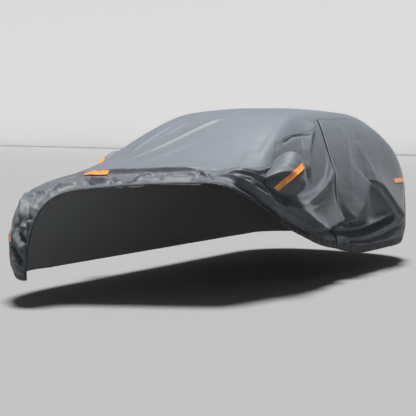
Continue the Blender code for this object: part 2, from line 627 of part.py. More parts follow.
def surface_of(*names):
    """The standing surface of some sheets, to lay sewn-on pieces on."""
    points, faces = [], []
    for name in names:
        mesh = bpy.data.objects[name].data
        faces += [[len(points) + corner for corner in face.vertices] for face in mesh.polygons]
        points += [vertex.co.copy() for vertex in mesh.vertices]
    return BVHTree.FromPolygons(points, faces)


def spread(grid, counts):
    """A grid of points with straight lines between them, cut finer both ways."""
    for axis, count in enumerate(counts):
        coarse = np.linspace(0, 1, grid.shape[axis])
        fine = np.linspace(0, 1, count)
        grid = np.apply_along_axis(lambda values: np.interp(fine, coarse, values), axis, grid)
    return grid


def sew_on(name, path, half_width, thickness, carriers, material, out=None, across=2):
    """A flat piece laid along the points of a path, clear of every facet below it."""
    surface = surface_of(*carriers)
    clearance = SEWN_LIFT if out is None else POCKET_STRIP_LIFT
    steps = len(path) - 1
    fine = (steps * SEWN_CHECKS + 1, across * SEWN_CHECKS + 1)
    path = spread(np.asarray(path, float), fine[:1])
    lift = form_normal(path) if out is None else (path - out)
    lift = lift / np.linalg.norm(lift, axis=-1, keepdims=True)
    side = np.cross(lift, np.gradient(path, axis=0))
    side /= np.linalg.norm(side, axis=-1, keepdims=True)
    rest = np.zeros((*fine, 3))
    for row, (point, up, aside) in enumerate(zip(path - HANG_POINT, lift, side)):
        for column, offset in enumerate(np.linspace(-half_width, half_width, fine[1])):
            start = point + SEWN_REACH * up + offset * aside
            hit = surface.ray_cast(start.tolist(), (-up).tolist())[0]
            rest[row, column] = rest[row, column - 1] if hit is None else np.array(hit)
    up = np.broadcast_to(lift[:, None], rest.shape)
    under = rest[::SEWN_CHECKS, ::SEWN_CHECKS]
    short = np.maximum(0, np.sum((rest - spread(under, fine)) * up, axis=-1))
    raised = under.copy()
    for row, column in np.ndindex(under.shape[:2]):
        first_row, first_column = max(0, (row - 1) * SEWN_CHECKS), max(0, (column - 1) * SEWN_CHECKS)
        near = short[first_row:(row + 1) * SEWN_CHECKS + 1, first_column:(column + 1) * SEWN_CHECKS + 1]
        raised[row, column] += (clearance + near.max()) * lift[row * SEWN_CHECKS]
    under = raised + HANG_POINT
    over = under + thickness * up[::SEWN_CHECKS, ::SEWN_CHECKS]
    piece = add_sheet(name, over.reshape(-1, 3), under.reshape(-1, 3), grid_triangles(over), material)
    weld(piece)


front = skirt_points(FRONT_STATIONS, *FRONT_GRID)
left = skirt_points(LEFT_STATIONS, *LEFT_GRID, mouth=LEFT_MOUTH)
tail = skirt_points(TAIL_STATIONS, *TAIL_GRID)
right = skirt_points(RIGHT_STATIONS, *RIGHT_GRID, mouth=RIGHT_MOUTH)

add_top("top_panel", *top_points(*(skirt[:, 0, :2] for skirt in (front, left, tail, right))))
add_skirt("front_band", front)
left_front, left_normals = add_skirt("left_front_panel", left[:ZIP_COLUMN + 1], hole=LEFT_MOUTH)
add_skirt("left_rear_panel", left[ZIP_COLUMN:])
add_skirt("tail_panel", tail)
right_side, right_normals = add_skirt("right_panel", right, hole=RIGHT_MOUTH)
add_pocket("left_pocket", left_front, left_normals, LEFT_MOUTH, LEFT_TIP, LEFT_LIFT, LEFT_ROUNDNESS)
add_pocket("right_pocket", right_side, right_normals, RIGHT_MOUTH, RIGHT_TIP, RIGHT_LIFT, RIGHT_ROUNDNESS)

rows_along = length_along(left_front[-1])
rows_along[0] += ZIP_END_MARGIN
rows_along[-1] -= ZIP_END_MARGIN
rows_along = np.sort(np.concatenate([rows_along, (rows_along[1:] + rows_along[:-1]) / 2]))
zip_path = at_length(left_front[-1], rows_along)
sew_on("door_zip", zip_path, ZIP_HALF_WIDTH, ZIP_THICKNESS,
       ("left_front_panel", "left_rear_panel"), DARK_ZIP, across=3)
towards_tail = np.cross(form_normal(zip_path), np.gradient(zip_path, axis=0))
towards_tail /= np.linalg.norm(towards_tail, axis=-1, keepdims=True)
sew_on("zip_piping", zip_path + PIPING_OFFSET * towards_tail, PIPING_HALF_WIDTH, PIPING_THICKNESS,
       ("left_rear_panel",), PALE_PIPING, across=1)
slider_path = at_length(zip_path, length_along(zip_path)[-1] - np.array(SLIDER_ENDS))
sew_on("zip_slider", slider_path, SLIDER_HALF_WIDTH, SLIDER_THICKNESS, ("door_zip",), DARK_ZIP, across=1)
for name, carriers, out in (
        ("strip_front", ("front_band", "top_panel"), None),
        ("strip_corner", ("front_band",), None),
        ("strip_tail", ("left_rear_panel",), None),
        ("strip_left_pocket", ("left_pocket", "left_front_panel"), LEFT_POCKET_MIDDLE),
        ("strip_right_pocket", ("right_pocket", "right_panel"), RIGHT_POCKET_MIDDLE)):
    path = np.array(STRIPS[name])
    path = at_length(path, np.linspace(0, length_along(path)[-1], STRIP_STEPS + 1))
    sew_on(name, path, TAPE_HALF_WIDTH, TAPE, carriers, ORANGE_TAPE, out=out)
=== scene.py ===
import bpy
import numpy as np
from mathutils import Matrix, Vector
from mathutils.bvhtree import BVHTree


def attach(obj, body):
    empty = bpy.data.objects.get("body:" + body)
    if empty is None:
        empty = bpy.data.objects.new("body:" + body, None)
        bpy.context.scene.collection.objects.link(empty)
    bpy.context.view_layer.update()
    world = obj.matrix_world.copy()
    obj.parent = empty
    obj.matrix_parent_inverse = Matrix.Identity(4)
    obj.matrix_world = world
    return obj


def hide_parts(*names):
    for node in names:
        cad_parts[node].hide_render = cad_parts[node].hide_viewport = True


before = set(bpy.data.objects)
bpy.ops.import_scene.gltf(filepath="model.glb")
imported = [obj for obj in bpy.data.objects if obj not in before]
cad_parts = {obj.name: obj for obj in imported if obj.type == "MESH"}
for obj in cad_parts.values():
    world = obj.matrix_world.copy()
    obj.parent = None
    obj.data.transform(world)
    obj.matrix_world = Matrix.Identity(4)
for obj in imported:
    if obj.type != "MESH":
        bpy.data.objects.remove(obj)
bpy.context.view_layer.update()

# ------------ front band
# Skirt over the nose and its right corner: non-woven cloth, coated grey outside and paler inside.
# Its upper edge is sewn to the top panel. Its foot is turned round an elastic cord, which gathers it.
HANG_POINT = np.array((0.0, 1.75, 1.493))
CLOTH = 0.0015
HEM_WIDTH = 0.045
HEM_ROWS = 10
HEM_BULGE = 0.0045             # how far the cord rounds the casing

# The form under the cloth: its plan and walls, then its raised middle, then its deck
HALF_WIDTH = 0.925
NOSE_Y = -0.965
TAIL_Y = 3.565
NOSE_LENGTH = 1.15
TAIL_LENGTH = 0.80
NOSE_SQUARENESS = 3.1
TAIL_SQUARENESS = 2.7
FOOT_Z = 0.18
SHOULDER = 0.30
SHOULDER_SQUARENESS = 4.0
FOOT_TUCK = 0.05
FOOT_TUCK_HEIGHT = 0.22
ROOF_CAMBER = 0.040
ROOF_HALF_WIDTH = 0.57
CABIN_FOOT_Z = 1.0
CABIN_FOOT_HALF_WIDTH = 0.85
CABIN_SIDE_SLOPE = 1.75
SCREEN_FOOT_Y = 0.36
SCREEN_FOOT_Z = 1.062
SCREEN_SLOPE = 0.475
SCREEN_BOW = 0.26
TAIL_TOP_Y = 3.00
TAIL_TOP_Z = 1.36
TAIL_SLOPE = 0.80
TAIL_BOW = 0.25
DECK_CAMBER = 0.04
DECK_HALF_WIDTH = 0.90
SOFT = dict(side=0.16, screen=0.10, tail=0.20, deck=0.10)
NORMAL_STEP = 0.012

# Middle line of the deck and of the roof, in the set-out frame: y, height
DECK_LINE = [
    (-0.97, 0.71), (-0.80, 0.815), (-0.50, 0.90), (0.00, 0.98), (0.45, 1.03),
    (1.20, 1.00), (2.40, 1.02), (3.20, 1.03), (3.50, 0.98),
]
ROOF_LINE = [
    (0.90, 1.415), (1.30, 1.466), (1.70, 1.495), (2.10, 1.496), (2.50, 1.475),
    (2.90, 1.410), (3.30, 1.29),
]
# Lines of cloth from the seam down to the hem: seam x, seam y, hem x, hem y, hem z
FRONT_STATIONS = [
    (-0.600, 0.000, -0.880, -0.33, 0.19),
    (-0.575, -0.020, -0.800, -0.68, 0.19),
    (-0.545, -0.035, -0.680, -0.82, 0.19),
    (-0.510, -0.050, -0.560, -0.89, 0.19),
    (-0.475, -0.060, -0.455, -0.92, 0.20),
    (-0.440, -0.070, -0.385, -0.94, 0.38),
    (-0.405, -0.075, -0.350, -0.92, 0.59),
    (-0.365, -0.075, -0.324, -0.865, 0.72),
    (-0.310, -0.070, -0.285, -0.744, 0.814),
    (-0.240, -0.060, -0.220, -0.630, 0.865),
    (-0.130, -0.035, -0.120, -0.570, 0.880),
    (-0.010, 0.000, 0.010, -0.510, 0.895),
    (0.110, 0.040, 0.130, -0.435, 0.906),
    (0.235, 0.080, 0.290, -0.355, 0.917),
    (0.360, 0.110, 0.450, -0.280, 0.922),
    (0.480, 0.130, 0.600, -0.190, 0.927),
]
FRONT_COLUMNS, FRONT_ROWS = 300, 88

# Folds: height, width to the left and right of the path, the shares of the path over which it
# fades in and out where they aren't the usual ones, and the path's points in whole centimetres
USUAL_FADES = (0.2, 0.2)
PATH_UNITS = 100               # to the metre
FOLDS = [
    # the roll of cloth along the deck
    (0.052, 0.18, 0.022, 0.5, 0.3, [(-69, 0, 96), (-39, -11, 96), (-11, -7, 97), (8, 0, 98), (27, 7, 99),
        (43, 15, 100), (60, 8, 97)]),
    # where the band drops from the roll to the hem
    (-0.03, 0.03, 0.1, [(-48, -66, 85), (-45, -52, 88), (-39, -36, 92), (-18, -31, 93), (7, -25, 94),
        (28, -15, 96), (48, -4, 96), (73, -7, 94)]),
    # lip above the gathered corner, with its shadow and a second lip
    (0.03, 0.09, 0.01, 0.25, 0.2, [(68, 10, 97), (71, 23, 99), (78, 29, 98), (82, 35, 97), (84, 41, 95),
        (86, 49, 92)]),
    (-0.02, 0.01, 0.022, 0.2, 0.1, [(72, 10, 97), (77, 22, 97), (82, 29, 95), (85, 36, 93), (87, 42, 89),
        (88, 45, 87)]),
    (0.016, 0.04, 0.01, 0.3, 0.3, [(72, 25, 100), (78, 31, 99), (82, 38, 98), (81, 60, 102)]),
    # ridges and grooves that run down the casing to the low point
    (0.05, 0.034, 0.016, 0.15, 0.15, [(61, 7, 97), (72, 9, 97), (81, 11, 94), (85, 19, 90), (88, 26, 86),
        (89, 39, 81), (90, 47, 75), (91, 64, 70), (92, 83, 63), (92, 101, 56), (92, 116, 50),
        (92, 128, 48)]),
    (-0.045, 0.012, 0.022, 0.2, 0.15, [(78, 4, 94), (83, 9, 91), (86, 15, 88), (88, 23, 84), (90, 32, 79),
        (91, 43, 73), (91, 54, 66), (92, 71, 60), (92, 89, 53), (92, 108, 47)]),
    (0.026, 0.016, 0.012, 0.3, 0.3, [(79, 25, 97), (84, 32, 94), (87, 37, 89), (89, 42, 83), (90, 52, 77)]),
    (-0.02, 0.01, 0.01, 0.3, 0.3, [(82, 23, 95), (86, 30, 91), (88, 38, 85), (90, 48, 79), (91, 56, 75)]),
    (0.01, 0.02, 0.014, [(78, -9, 92), (85, 3, 88), (88, 17, 82), (90, 32, 76)]),
    # short diagonal creases beside the deck seam
    (-0.024, 0.012, 0.01, 0.15, 0.2, [(47, 11, 99), (53, 9, 98), (60, 3, 97)]),
    (-0.02, 0.01, 0.008, 0.15, 0.2, [(53, 12, 99), (59, 8, 97), (69, -3, 95)]),
    # soft fan from the corner over the deck
    (0.012, 0.016, 0.05, 0.3, 0.3, [(63, 67, 116), (65, 54, 110), (71, 29, 101), (62, 24, 100),
        (46, 24, 102)]),
    (0.01, 0.014, 0.04, 0.3, 0.3, [(78, 64, 108), (79, 40, 100), (76, 30, 99), (68, 23, 100)]),
    (0.01, 0.016, 0.05, 0.3, 0.3, [(33, 33, 105), (19, 25, 103), (5, 18, 102), (-15, 17, 101)]),
    # creases on the far side of the deck
    (-0.019, 0.014, 0.02, 0.2, 0.3, [(-57, -10, 95), (-59, -18, 94), (-60, -27, 92), (-66, -33, 91),
        (-64, -47, 88)]),
    (0.026, 0.02, 0.02, 0.3, 0.3, [(-41, -37, 92), (-47, -44, 90), (-45, -61, 86), (-52, -64, 85)]),
    (-0.029, 0.02, 0.014, [(-35, -51, 89), (-45, -54, 88), (-46, -63, 86), (-57, -63, 84), (-56, -72, 80)]),
    (0.022, 0.02, 0.02, 0.3, 0.3, [(-25, -45, 91), (-29, -54, 89), (-34, -63, 86), (-33, -75, 82)]),
    # crumples of the band, from the near side to the far side
    (-0.032, 0.018, 0.026, [(-19, -18, 95), (-2, -29, 94), (8, -30, 94), (14, -25, 94), (21, -19, 95)]),
    (0.032, 0.026, 0.018, [(0, -39, 92), (5, -33, 93), (8, -22, 95), (10, -9, 97), (19, -6, 97)]),
    (-0.024, 0.016, 0.018, [(32, -34, 93), (32, -19, 95), (41, -13, 95), (53, -8, 95), (65, -5, 95)]),
    (0.024, 0.018, 0.018, [(27, -13, 96), (30, 0, 98), (41, 4, 98), (53, 3, 97)]),
    (-0.028, 0.013, 0.018, [(-46, -19, 94), (-25, -34, 93), (-12, -41, 92), (-9, -35, 93), (-11, -22, 95)]),
    (0.028, 0.018, 0.018, [(-32, -26, 94), (-22, -28, 94), (-14, -26, 94)]),
    # bunched cloth at the front corner, from the top down
    (-0.051, 0.022, 0.026, 0.15, 0.2, [(-68, -67, 77), (-58, -79, 71), (-56, -83, 66), (-56, -86, 59)]),
    (0.044, 0.029, 0.022, [(-63, -62, 83), (-56, -75, 77), (-52, -82, 70), (-49, -86, 64)]),
    (-0.041, 0.019, 0.024, [(-53, -68, 83), (-45, -80, 76), (-42, -86, 69), (-43, -89, 63), (-38, -91, 57)]),
    (0.041, 0.024, 0.024, [(-44, -70, 83), (-42, -77, 79), (-40, -84, 73), (-38, -88, 66)]),
    (-0.041, 0.017, 0.024, [(-59, -83, 61), (-54, -86, 58), (-49, -89, 55), (-39, -93, 49)]),
    (0.034, 0.022, 0.019, [(-58, -85, 55), (-53, -88, 51), (-44, -92, 46), (-42, -93, 39)]),
    (-0.041, 0.017, 0.022, [(-62, -84, 46), (-57, -87, 42), (-48, -91, 38), (-45, -92, 32)]),
    (0.037, 0.024, 0.019, [(-58, -87, 39), (-51, -90, 35), (-47, -92, 31), (-50, -91, 25)]),
    (-0.034, 0.017, 0.017, [(-41, -93, 47), (-38, -94, 43), (-39, -94, 35), (-43, -93, 29)]),
    (-0.034, 0.017, 0.019, [(-53, -90, 33), (-49, -91, 29), (-43, -93, 27)]),
    (0.031, 0.019, 0.019, [(-49, -88, 60), (-39, -90, 62), (-38, -88, 66)]),
]
FOLD_REACH = 0.10
FOLD_SOFTNESS = 1.5
FOLD_SPAN = 3.5                # widths from the path at which a fold has faded away


def blend_min(first, second, soft):
    share = np.clip(0.5 + 0.5 * (second - first) / soft, 0.0, 1.0)
    return second * (1 - share) + first * share - soft * share * (1 - share)


def smooth_table(rows, at):
    """Values of a table's columns at positions of its first column, without overshoot."""
    rows = np.asarray(rows, float)
    keys, values = rows[:, 0], rows[:, 1:]
    steps = np.diff(values, axis=0) / np.diff(keys)[:, None]
    slopes = np.vstack([steps[:1], np.zeros_like(values[1:-1]), steps[-1:]])
    rising = steps[:-1] * steps[1:] > 0
    total = np.where(rising, steps[:-1] + steps[1:], 1.0)
    slopes[1:-1] = np.where(rising, 2 * steps[:-1] * steps[1:] / total, 0.0)
    at = np.clip(np.asarray(at, float), keys[0], keys[-1])
    row = np.clip(np.searchsorted(keys, at, side="right") - 1, 0, len(keys) - 2)
    width = (keys[row + 1] - keys[row])[..., None]
    t = (at[..., None] - keys[row][..., None]) / width
    return (
        (2 * t**3 - 3 * t**2 + 1) * values[row]
        + (t**3 - 2 * t**2 + t) * width * slopes[row]
        + (3 * t**2 - 2 * t**3) * values[row + 1]
        + (t**3 - t**2) * width * slopes[row + 1]
    )


def top_height(x, y):
    """Height of the cloth over the deck and the raised middle, before the walls drop away."""
    out = np.abs(x)
    deck = smooth_table(DECK_LINE, y)[..., 0] - DECK_CAMBER * (out / DECK_HALF_WIDTH) ** 2
    roof = smooth_table(ROOF_LINE, y)[..., 0] - ROOF_CAMBER * (out / ROOF_HALF_WIDTH) ** 2
    side = CABIN_FOOT_Z + (CABIN_FOOT_HALF_WIDTH - out) * CABIN_SIDE_SLOPE
    screen = SCREEN_FOOT_Z + (y - SCREEN_FOOT_Y - SCREEN_BOW * out**2) * SCREEN_SLOPE
    tail = TAIL_TOP_Z - (y - TAIL_TOP_Y + TAIL_BOW * out**2) * TAIL_SLOPE
    cabin = blend_min(roof, side, SOFT["side"])
    cabin = blend_min(cabin, screen, SOFT["screen"])
    cabin = blend_min(cabin, tail, SOFT["tail"])
    return -blend_min(-deck, -cabin, SOFT["deck"])


def rim_share(x, y):
    """0 on the middle line, 1 on the rim of the plan."""
    across = np.abs(x) / HALF_WIDTH
    nose = np.maximum(0.0, NOSE_Y + NOSE_LENGTH - y) / NOSE_LENGTH
    tail = np.maximum(0.0, y - TAIL_Y + TAIL_LENGTH) / TAIL_LENGTH
    power = np.where(nose > 0, NOSE_SQUARENESS, TAIL_SQUARENESS)
    return (across**power + nose**power + tail**power) ** (1 / power)


def shoulder_share(x, y):
    start = 1 - SHOULDER / HALF_WIDTH
    return np.maximum(0.0, rim_share(x, y) - start) / (1 - start)


def form_height(x, y):
    drop = np.minimum(1.0, shoulder_share(x, y)) ** SHOULDER_SQUARENESS
    return FOOT_Z + (top_height(x, y) - FOOT_Z) * (1 - drop) ** (1 / SHOULDER_SQUARENESS)


def form_level(points):
    x, y, z = np.moveaxis(points, -1, 0)
    rise = (z - FOOT_Z) / (top_height(x, y) - FOOT_Z)
    round_off = np.sign(rise) * np.abs(rise) ** SHOULDER_SQUARENESS
    return shoulder_share(x, y) ** SHOULDER_SQUARENESS + round_off


def unit(directions):
    return directions / np.linalg.norm(directions, axis=-1, keepdims=True)


def form_normal(points):
    """Outward directions of the form, from the slope of its level function."""
    steps = NORMAL_STEP * np.eye(3)
    slope = [form_level(points + step) - form_level(points - step) for step in steps]
    return unit(np.stack(slope, axis=-1))


def length_along(line):
    return np.concatenate([[0.0], np.cumsum(np.linalg.norm(np.diff(line, axis=0), axis=1))])


def at_length(line, lengths):
    along = length_along(line)
    return np.column_stack([np.interp(lengths, along, line[:, axis]) for axis in range(3)])


def fold_relief(points, normals, fold):
    """Height that one fold adds: a soft ridge along its path, faded out to its ends."""
    height, left_width, right_width, *fades, path = fold
    fade_in, fade_out = fades or USUAL_FADES
    path = np.array(path) / PATH_UNITS
    lengths = length_along(path)
    relief = np.zeros(len(points))
    span = FOLD_SPAN * max(left_width, right_width) + FOLD_REACH
    close = np.all((points > path.min(axis=0) - span) & (points < path.max(axis=0) + span), axis=1)
    points, normals = points[close], normals[close]
    nearest = np.full(len(points), np.inf)
    shape = np.zeros(len(points))
    for start, end, along in zip(path[:-1], path[1:], lengths):
        reach = np.linalg.norm(end - start)
        way = (end - start) / reach
        share = np.clip((points - start) @ way, 0, reach)
        away = points - (start + share[:, None] * way)
        depth = np.sum(away * normals, axis=-1)
        away = away - depth[:, None] * normals
        distance = np.hypot(np.linalg.norm(away, axis=-1), np.maximum(0.0, np.abs(depth) - FOLD_REACH))
        left = np.sum(np.cross(normals, way) * away, axis=-1) > 0
        width = np.where(left, left_width, right_width)
        place = (along + share) / lengths[-1]
        rise = np.clip(place / fade_in, 0, 1) * np.clip((1 - place) / fade_out, 0, 1)
        here = height * np.sin(rise * np.pi / 2) * np.exp(-((distance / width) ** FOLD_SOFTNESS))
        shape = np.where(distance < nearest, here, shape)
        nearest = np.minimum(distance, nearest)
    relief[close] = shape
    return relief


DRIFT_CELLS, DRIFT_START = 32, 100.0


def drift(points, size, seed):
    """Smooth random values from -1 to 1, in patches about size across."""
    table = np.random.default_rng(seed).uniform(-1, 1, (DRIFT_CELLS,) * 3)
    place = points / np.asarray(size) + DRIFT_START
    corner = np.floor(place).astype(int)
    part = place - corner
    part = part * part * (3 - 2 * part)
    total = np.zeros(len(points))
    for step in np.ndindex(2, 2, 2):
        weight = np.prod(np.where(step, part, 1 - part), axis=1)
        x, y, z = ((corner + step) % DRIFT_CELLS).T
        total += weight * table[x, y, z]
    return total


def near(points, middle, reach):
    """1 at the middle of a place, fading to 0 around it."""
    away = np.linalg.norm((points - middle) / reach, axis=1)
    return np.exp(-away**2)


# Small shapes: height, patch size and seed. Crests: patch size and seed, and the height that
# the broad and the fine ones reach where the cloth is crumpled, around a middle point
SWELLS = ((0.0026, 0.34, 3), (0.0012, 0.12, 4))
WARP, WARP_SIZE, WARP_SEEDS = 0.035, 0.16, (5, 6, 7)
CREST, FINE_CREST = ((0.17, 0.17, 0.10), 8), ((0.09, 0.09, 0.055), 9)
FINE_RELIEF = 0.0022
CRUMPLED = (
    (0.026, 0.012, dict(middle=(-0.62, -0.76, 0.58), reach=(0.35, 0.35, 0.42))),
    (0.011, 0.006, dict(middle=(0.05, -0.30, 0.95), reach=(0.65, 0.28, 0.20))),
)


def unevenness(points):
    """Small shapes of loose cloth: soft everywhere, sharp-crested where it is crumpled."""
    relief = sum(height * drift(points, size, seed) for height, size, seed in SWELLS)
    warped = points + WARP * np.column_stack([drift(points, WARP_SIZE, seed) for seed in WARP_SEEDS])
    crest, finer = (0.5 - np.abs(drift(warped, *kind)) for kind in (CREST, FINE_CREST))
    for broad, fine, place in CRUMPLED:
        relief += near(points, **place) * (broad * crest + fine * finer)
    return relief + FINE_RELIEF * finer


def lay_cloth(points, slack=1.0):
    """Move form points out by the folds, and in where the elastic draws the foot in."""
    normals = form_normal(points)
    relief = slack * (unevenness(points) + sum(fold_relief(points, normals, fold) for fold in FOLDS))
    tuck = np.clip(1 - (points[:, 2] - FOOT_Z) / FOOT_TUCK_HEIGHT, 0, 1) ** 2
    return points + normals * (relief - FOOT_TUCK * tuck)[:, None], normals


def station_at(stations, share):
    """The lines of cloth at shares of the way along a panel."""
    keys = np.linspace(0, 1, len(stations))
    return smooth_table(np.column_stack([keys, np.array(stations)]), share)


PLAN_REACH, RIM_SEARCHES = 6.0, 40
LINE_SAMPLES, TURN_SHARE, HEM_SAMPLES = 160, 0.2, 4000


def cloth_line(station):
    """The form from the seam down, and the length of cloth on it from seam to hem."""
    seam, hem = station[:2], station[2:]
    way = hem[:2] - seam
    inner, outer = 0.0, PLAN_REACH
    for _ in range(RIM_SEARCHES):
        middle = 0.5 * (inner + outer)
        inside = rim_share(*(seam + middle * way)) < 1
        inner, outer = (middle, outer) if inside else (inner, middle)
    even = np.linspace(0, 1, LINE_SAMPLES)
    turn = np.sin(even * np.pi / 2) ** (2 / SHOULDER_SQUARENESS)
    flat = 1 - TURN_SHARE
    shares = np.unique(np.concatenate([flat * even, flat + TURN_SHARE * turn, 1 - TURN_SHARE * (1 - turn)]))
    plan = seam + np.outer(shares * inner, way)
    line = np.column_stack([plan, form_height(plan[:, 0], plan[:, 1])])
    lengths = np.linspace(0, length_along(line)[-1], HEM_SAMPLES)
    nearest = np.argmin(np.linalg.norm(at_length(line, lengths) - hem, axis=1))
    return line, lengths[nearest]


def skirt(stations, columns, rows):
    """Form points from the seam to the hem, and each one's place on the flat cloth."""
    grid, down = [], []
    casing = np.linspace(0, HEM_WIDTH, HEM_ROWS + 1)[1:]
    for row in station_at(stations, np.linspace(0, 1, columns + 1)):
        line, reach = cloth_line(row)
        lengths = np.append(np.linspace(0, reach - HEM_WIDTH, rows + 1), reach - HEM_WIDTH + casing)
        grid.append(at_length(line, lengths))
        down.append(lengths)
    grid, down = np.array(grid), np.array(down)
    along = length_along(grid[:, 0])
    return grid, np.stack([np.broadcast_to(along[:, None], down.shape), down], axis=-1)


PUCKERS = ((1.0, 0.045, 21), (0.6, 0.021, 22))      # share, length along the hem, seed
PUCKER_REACH = 0.05
CASING_ROUNDNESS, CASING_EDGE = 0.5, 0.3


def gather_hem(outer, normals, rows, pucker):
    """Round the turned foot over its cord, and pucker it and the cloth above it."""
    hem = outer[:, -1]
    along = length_along(hem)
    line = np.column_stack([along, 0 * along, 0 * along])
    pull = sum(share * drift(line, size, seed) for share, size, seed in PUCKERS)
    above = np.linalg.norm(outer - hem[:, None], axis=-1)
    ripple = np.exp(-np.maximum(0.0, above - HEM_WIDTH) / PUCKER_REACH)
    casing = np.zeros(outer.shape[:2])
    casing[:, rows:] = np.sin(np.linspace(0, np.pi, HEM_ROWS + 1)) ** CASING_ROUNDNESS
    casing[:, -1] = CASING_EDGE
    shift = HEM_BULGE * casing + pucker * pull[:, None] * ripple
    return outer + normals * shift[..., None]


def make_object(name, points, faces, materials, kinds=None, crease=40):
    """A smooth-shaded mesh from set-out points, in the scene, with its materials by face."""
    mesh = bpy.data.meshes.new(name)
    mesh.from_pydata((points - HANG_POINT).tolist(), [], faces)
    for material in materials:
        mesh.materials.append(material)
    if kinds is not None:
        mesh.polygons.foreach_set("material_index", np.asarray(kinds, np.int32))
    mesh.shade_smooth()
    mesh.set_sharp_from_angle(angle=np.radians(crease))
    thing = bpy.data.objects.new(name, mesh)
    bpy.context.scene.collection.objects.link(thing)
    return thing


SHEET_CREASE = 70


def make_sheet(name, outer, inner, flat, materials, closed=False, hole=None, hem_rows=0):
    """One closed sheet between two like grids: outside, hem and lining differ in material."""
    columns, rows = outer.shape[:2]
    below = columns * rows
    cells = np.ones((columns if closed else columns - 1, rows - 1), bool)
    if hole:
        cells[slice(*hole[0]), slice(*hole[1])] = False
    c, r = np.nonzero(cells)
    beyond = (c + 1) % columns
    quads = np.column_stack([c * rows + r, c * rows + r + 1, beyond * rows + r + 1, beyond * rows + r])
    around = np.pad(cells, 1)
    if closed:
        around[0], around[-1] = around[-2], around[1]
    sides = (
        (around[:-2, 1:-1], 0, 1), (around[1:-1, 2:], 1, 2),
        (around[2:, 1:-1], 2, 3), (around[1:-1, :-2], 3, 0),
    )
    walls = []
    for neighbour, start, end in sides:
        edge = quads[~neighbour[c, r]]
        first, last = edge[:, start], edge[:, end]
        walls.append(np.column_stack([last, first, first + below, last + below]))
    walls = np.concatenate(walls)
    faces = np.concatenate([quads, quads[:, ::-1] + below, walls])
    points = np.concatenate([outer.reshape(-1, 3), inner.reshape(-1, 3)])
    hem = (r >= rows - 1 - hem_rows).astype(int)
    kinds = np.concatenate([hem, np.full(len(quads), 2), np.full(len(walls), 1)])
    kinds = np.minimum(kinds, len(materials) - 1)
    sheet = make_object(name, points, faces.tolist(), materials, kinds, SHEET_CREASE)
    uv = sheet.data.uv_layers.new(name="cloth")
    both = np.concatenate([flat.reshape(-1, 2), flat.reshape(-1, 2)])
    uv.data.foreach_set("uv", both[faces.ravel()].astype(np.float32).ravel())
    sheet.data.update()
    return sheet


def fit(piece, node=None):
    """Hold a piece on the body, and let it stand for its node."""
    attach(piece, "root")
    if node:
        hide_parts(node)


def set_sockets(tree, node, values):
    """Set a node's choices, and set or link its sockets, by name or as in0, in1, in2."""
    for key, value in values.items():
        if hasattr(node, key):
            setattr(node, key, value)
            continue
        socket = node.inputs[int(key[2]) if key[:2] == "in" else key.replace("_", " ")]
        if isinstance(value, bpy.types.NodeSocket):
            tree.links.new(value, socket)
        else:
            socket.default_value = value


def new_material(name):
    """A material, with one call that adds a node to it and one that sets its shader."""
    material = bpy.data.materials.new(name)
    material.use_nodes = True
    tree = material.node_tree

    def add(kind, **values):
        node = tree.nodes.new("ShaderNode" + kind)
        set_sockets(tree, node, values)
        return node.outputs

    def finish(**values):
        set_sockets(tree, tree.nodes["Principled BSDF"], values)

    return material, add, finish


STITCH_ROW, STITCH_WIDTH = 0.014, 0.0012      # how far from the seam, and half a thread
STITCH_PITCH, STITCH_GAP = 0.004, 0.0012
STITCH_SHADE = 0.6
JOINT_START, JOINT_END = 0.003, 0.008
PAINTED_SHADE_FOOT, PAINTED_SHADE_HEAD = -0.50, -0.12       # heights between which a painted shade darkens the cloth towards the bottom
WEAVE = 420.0


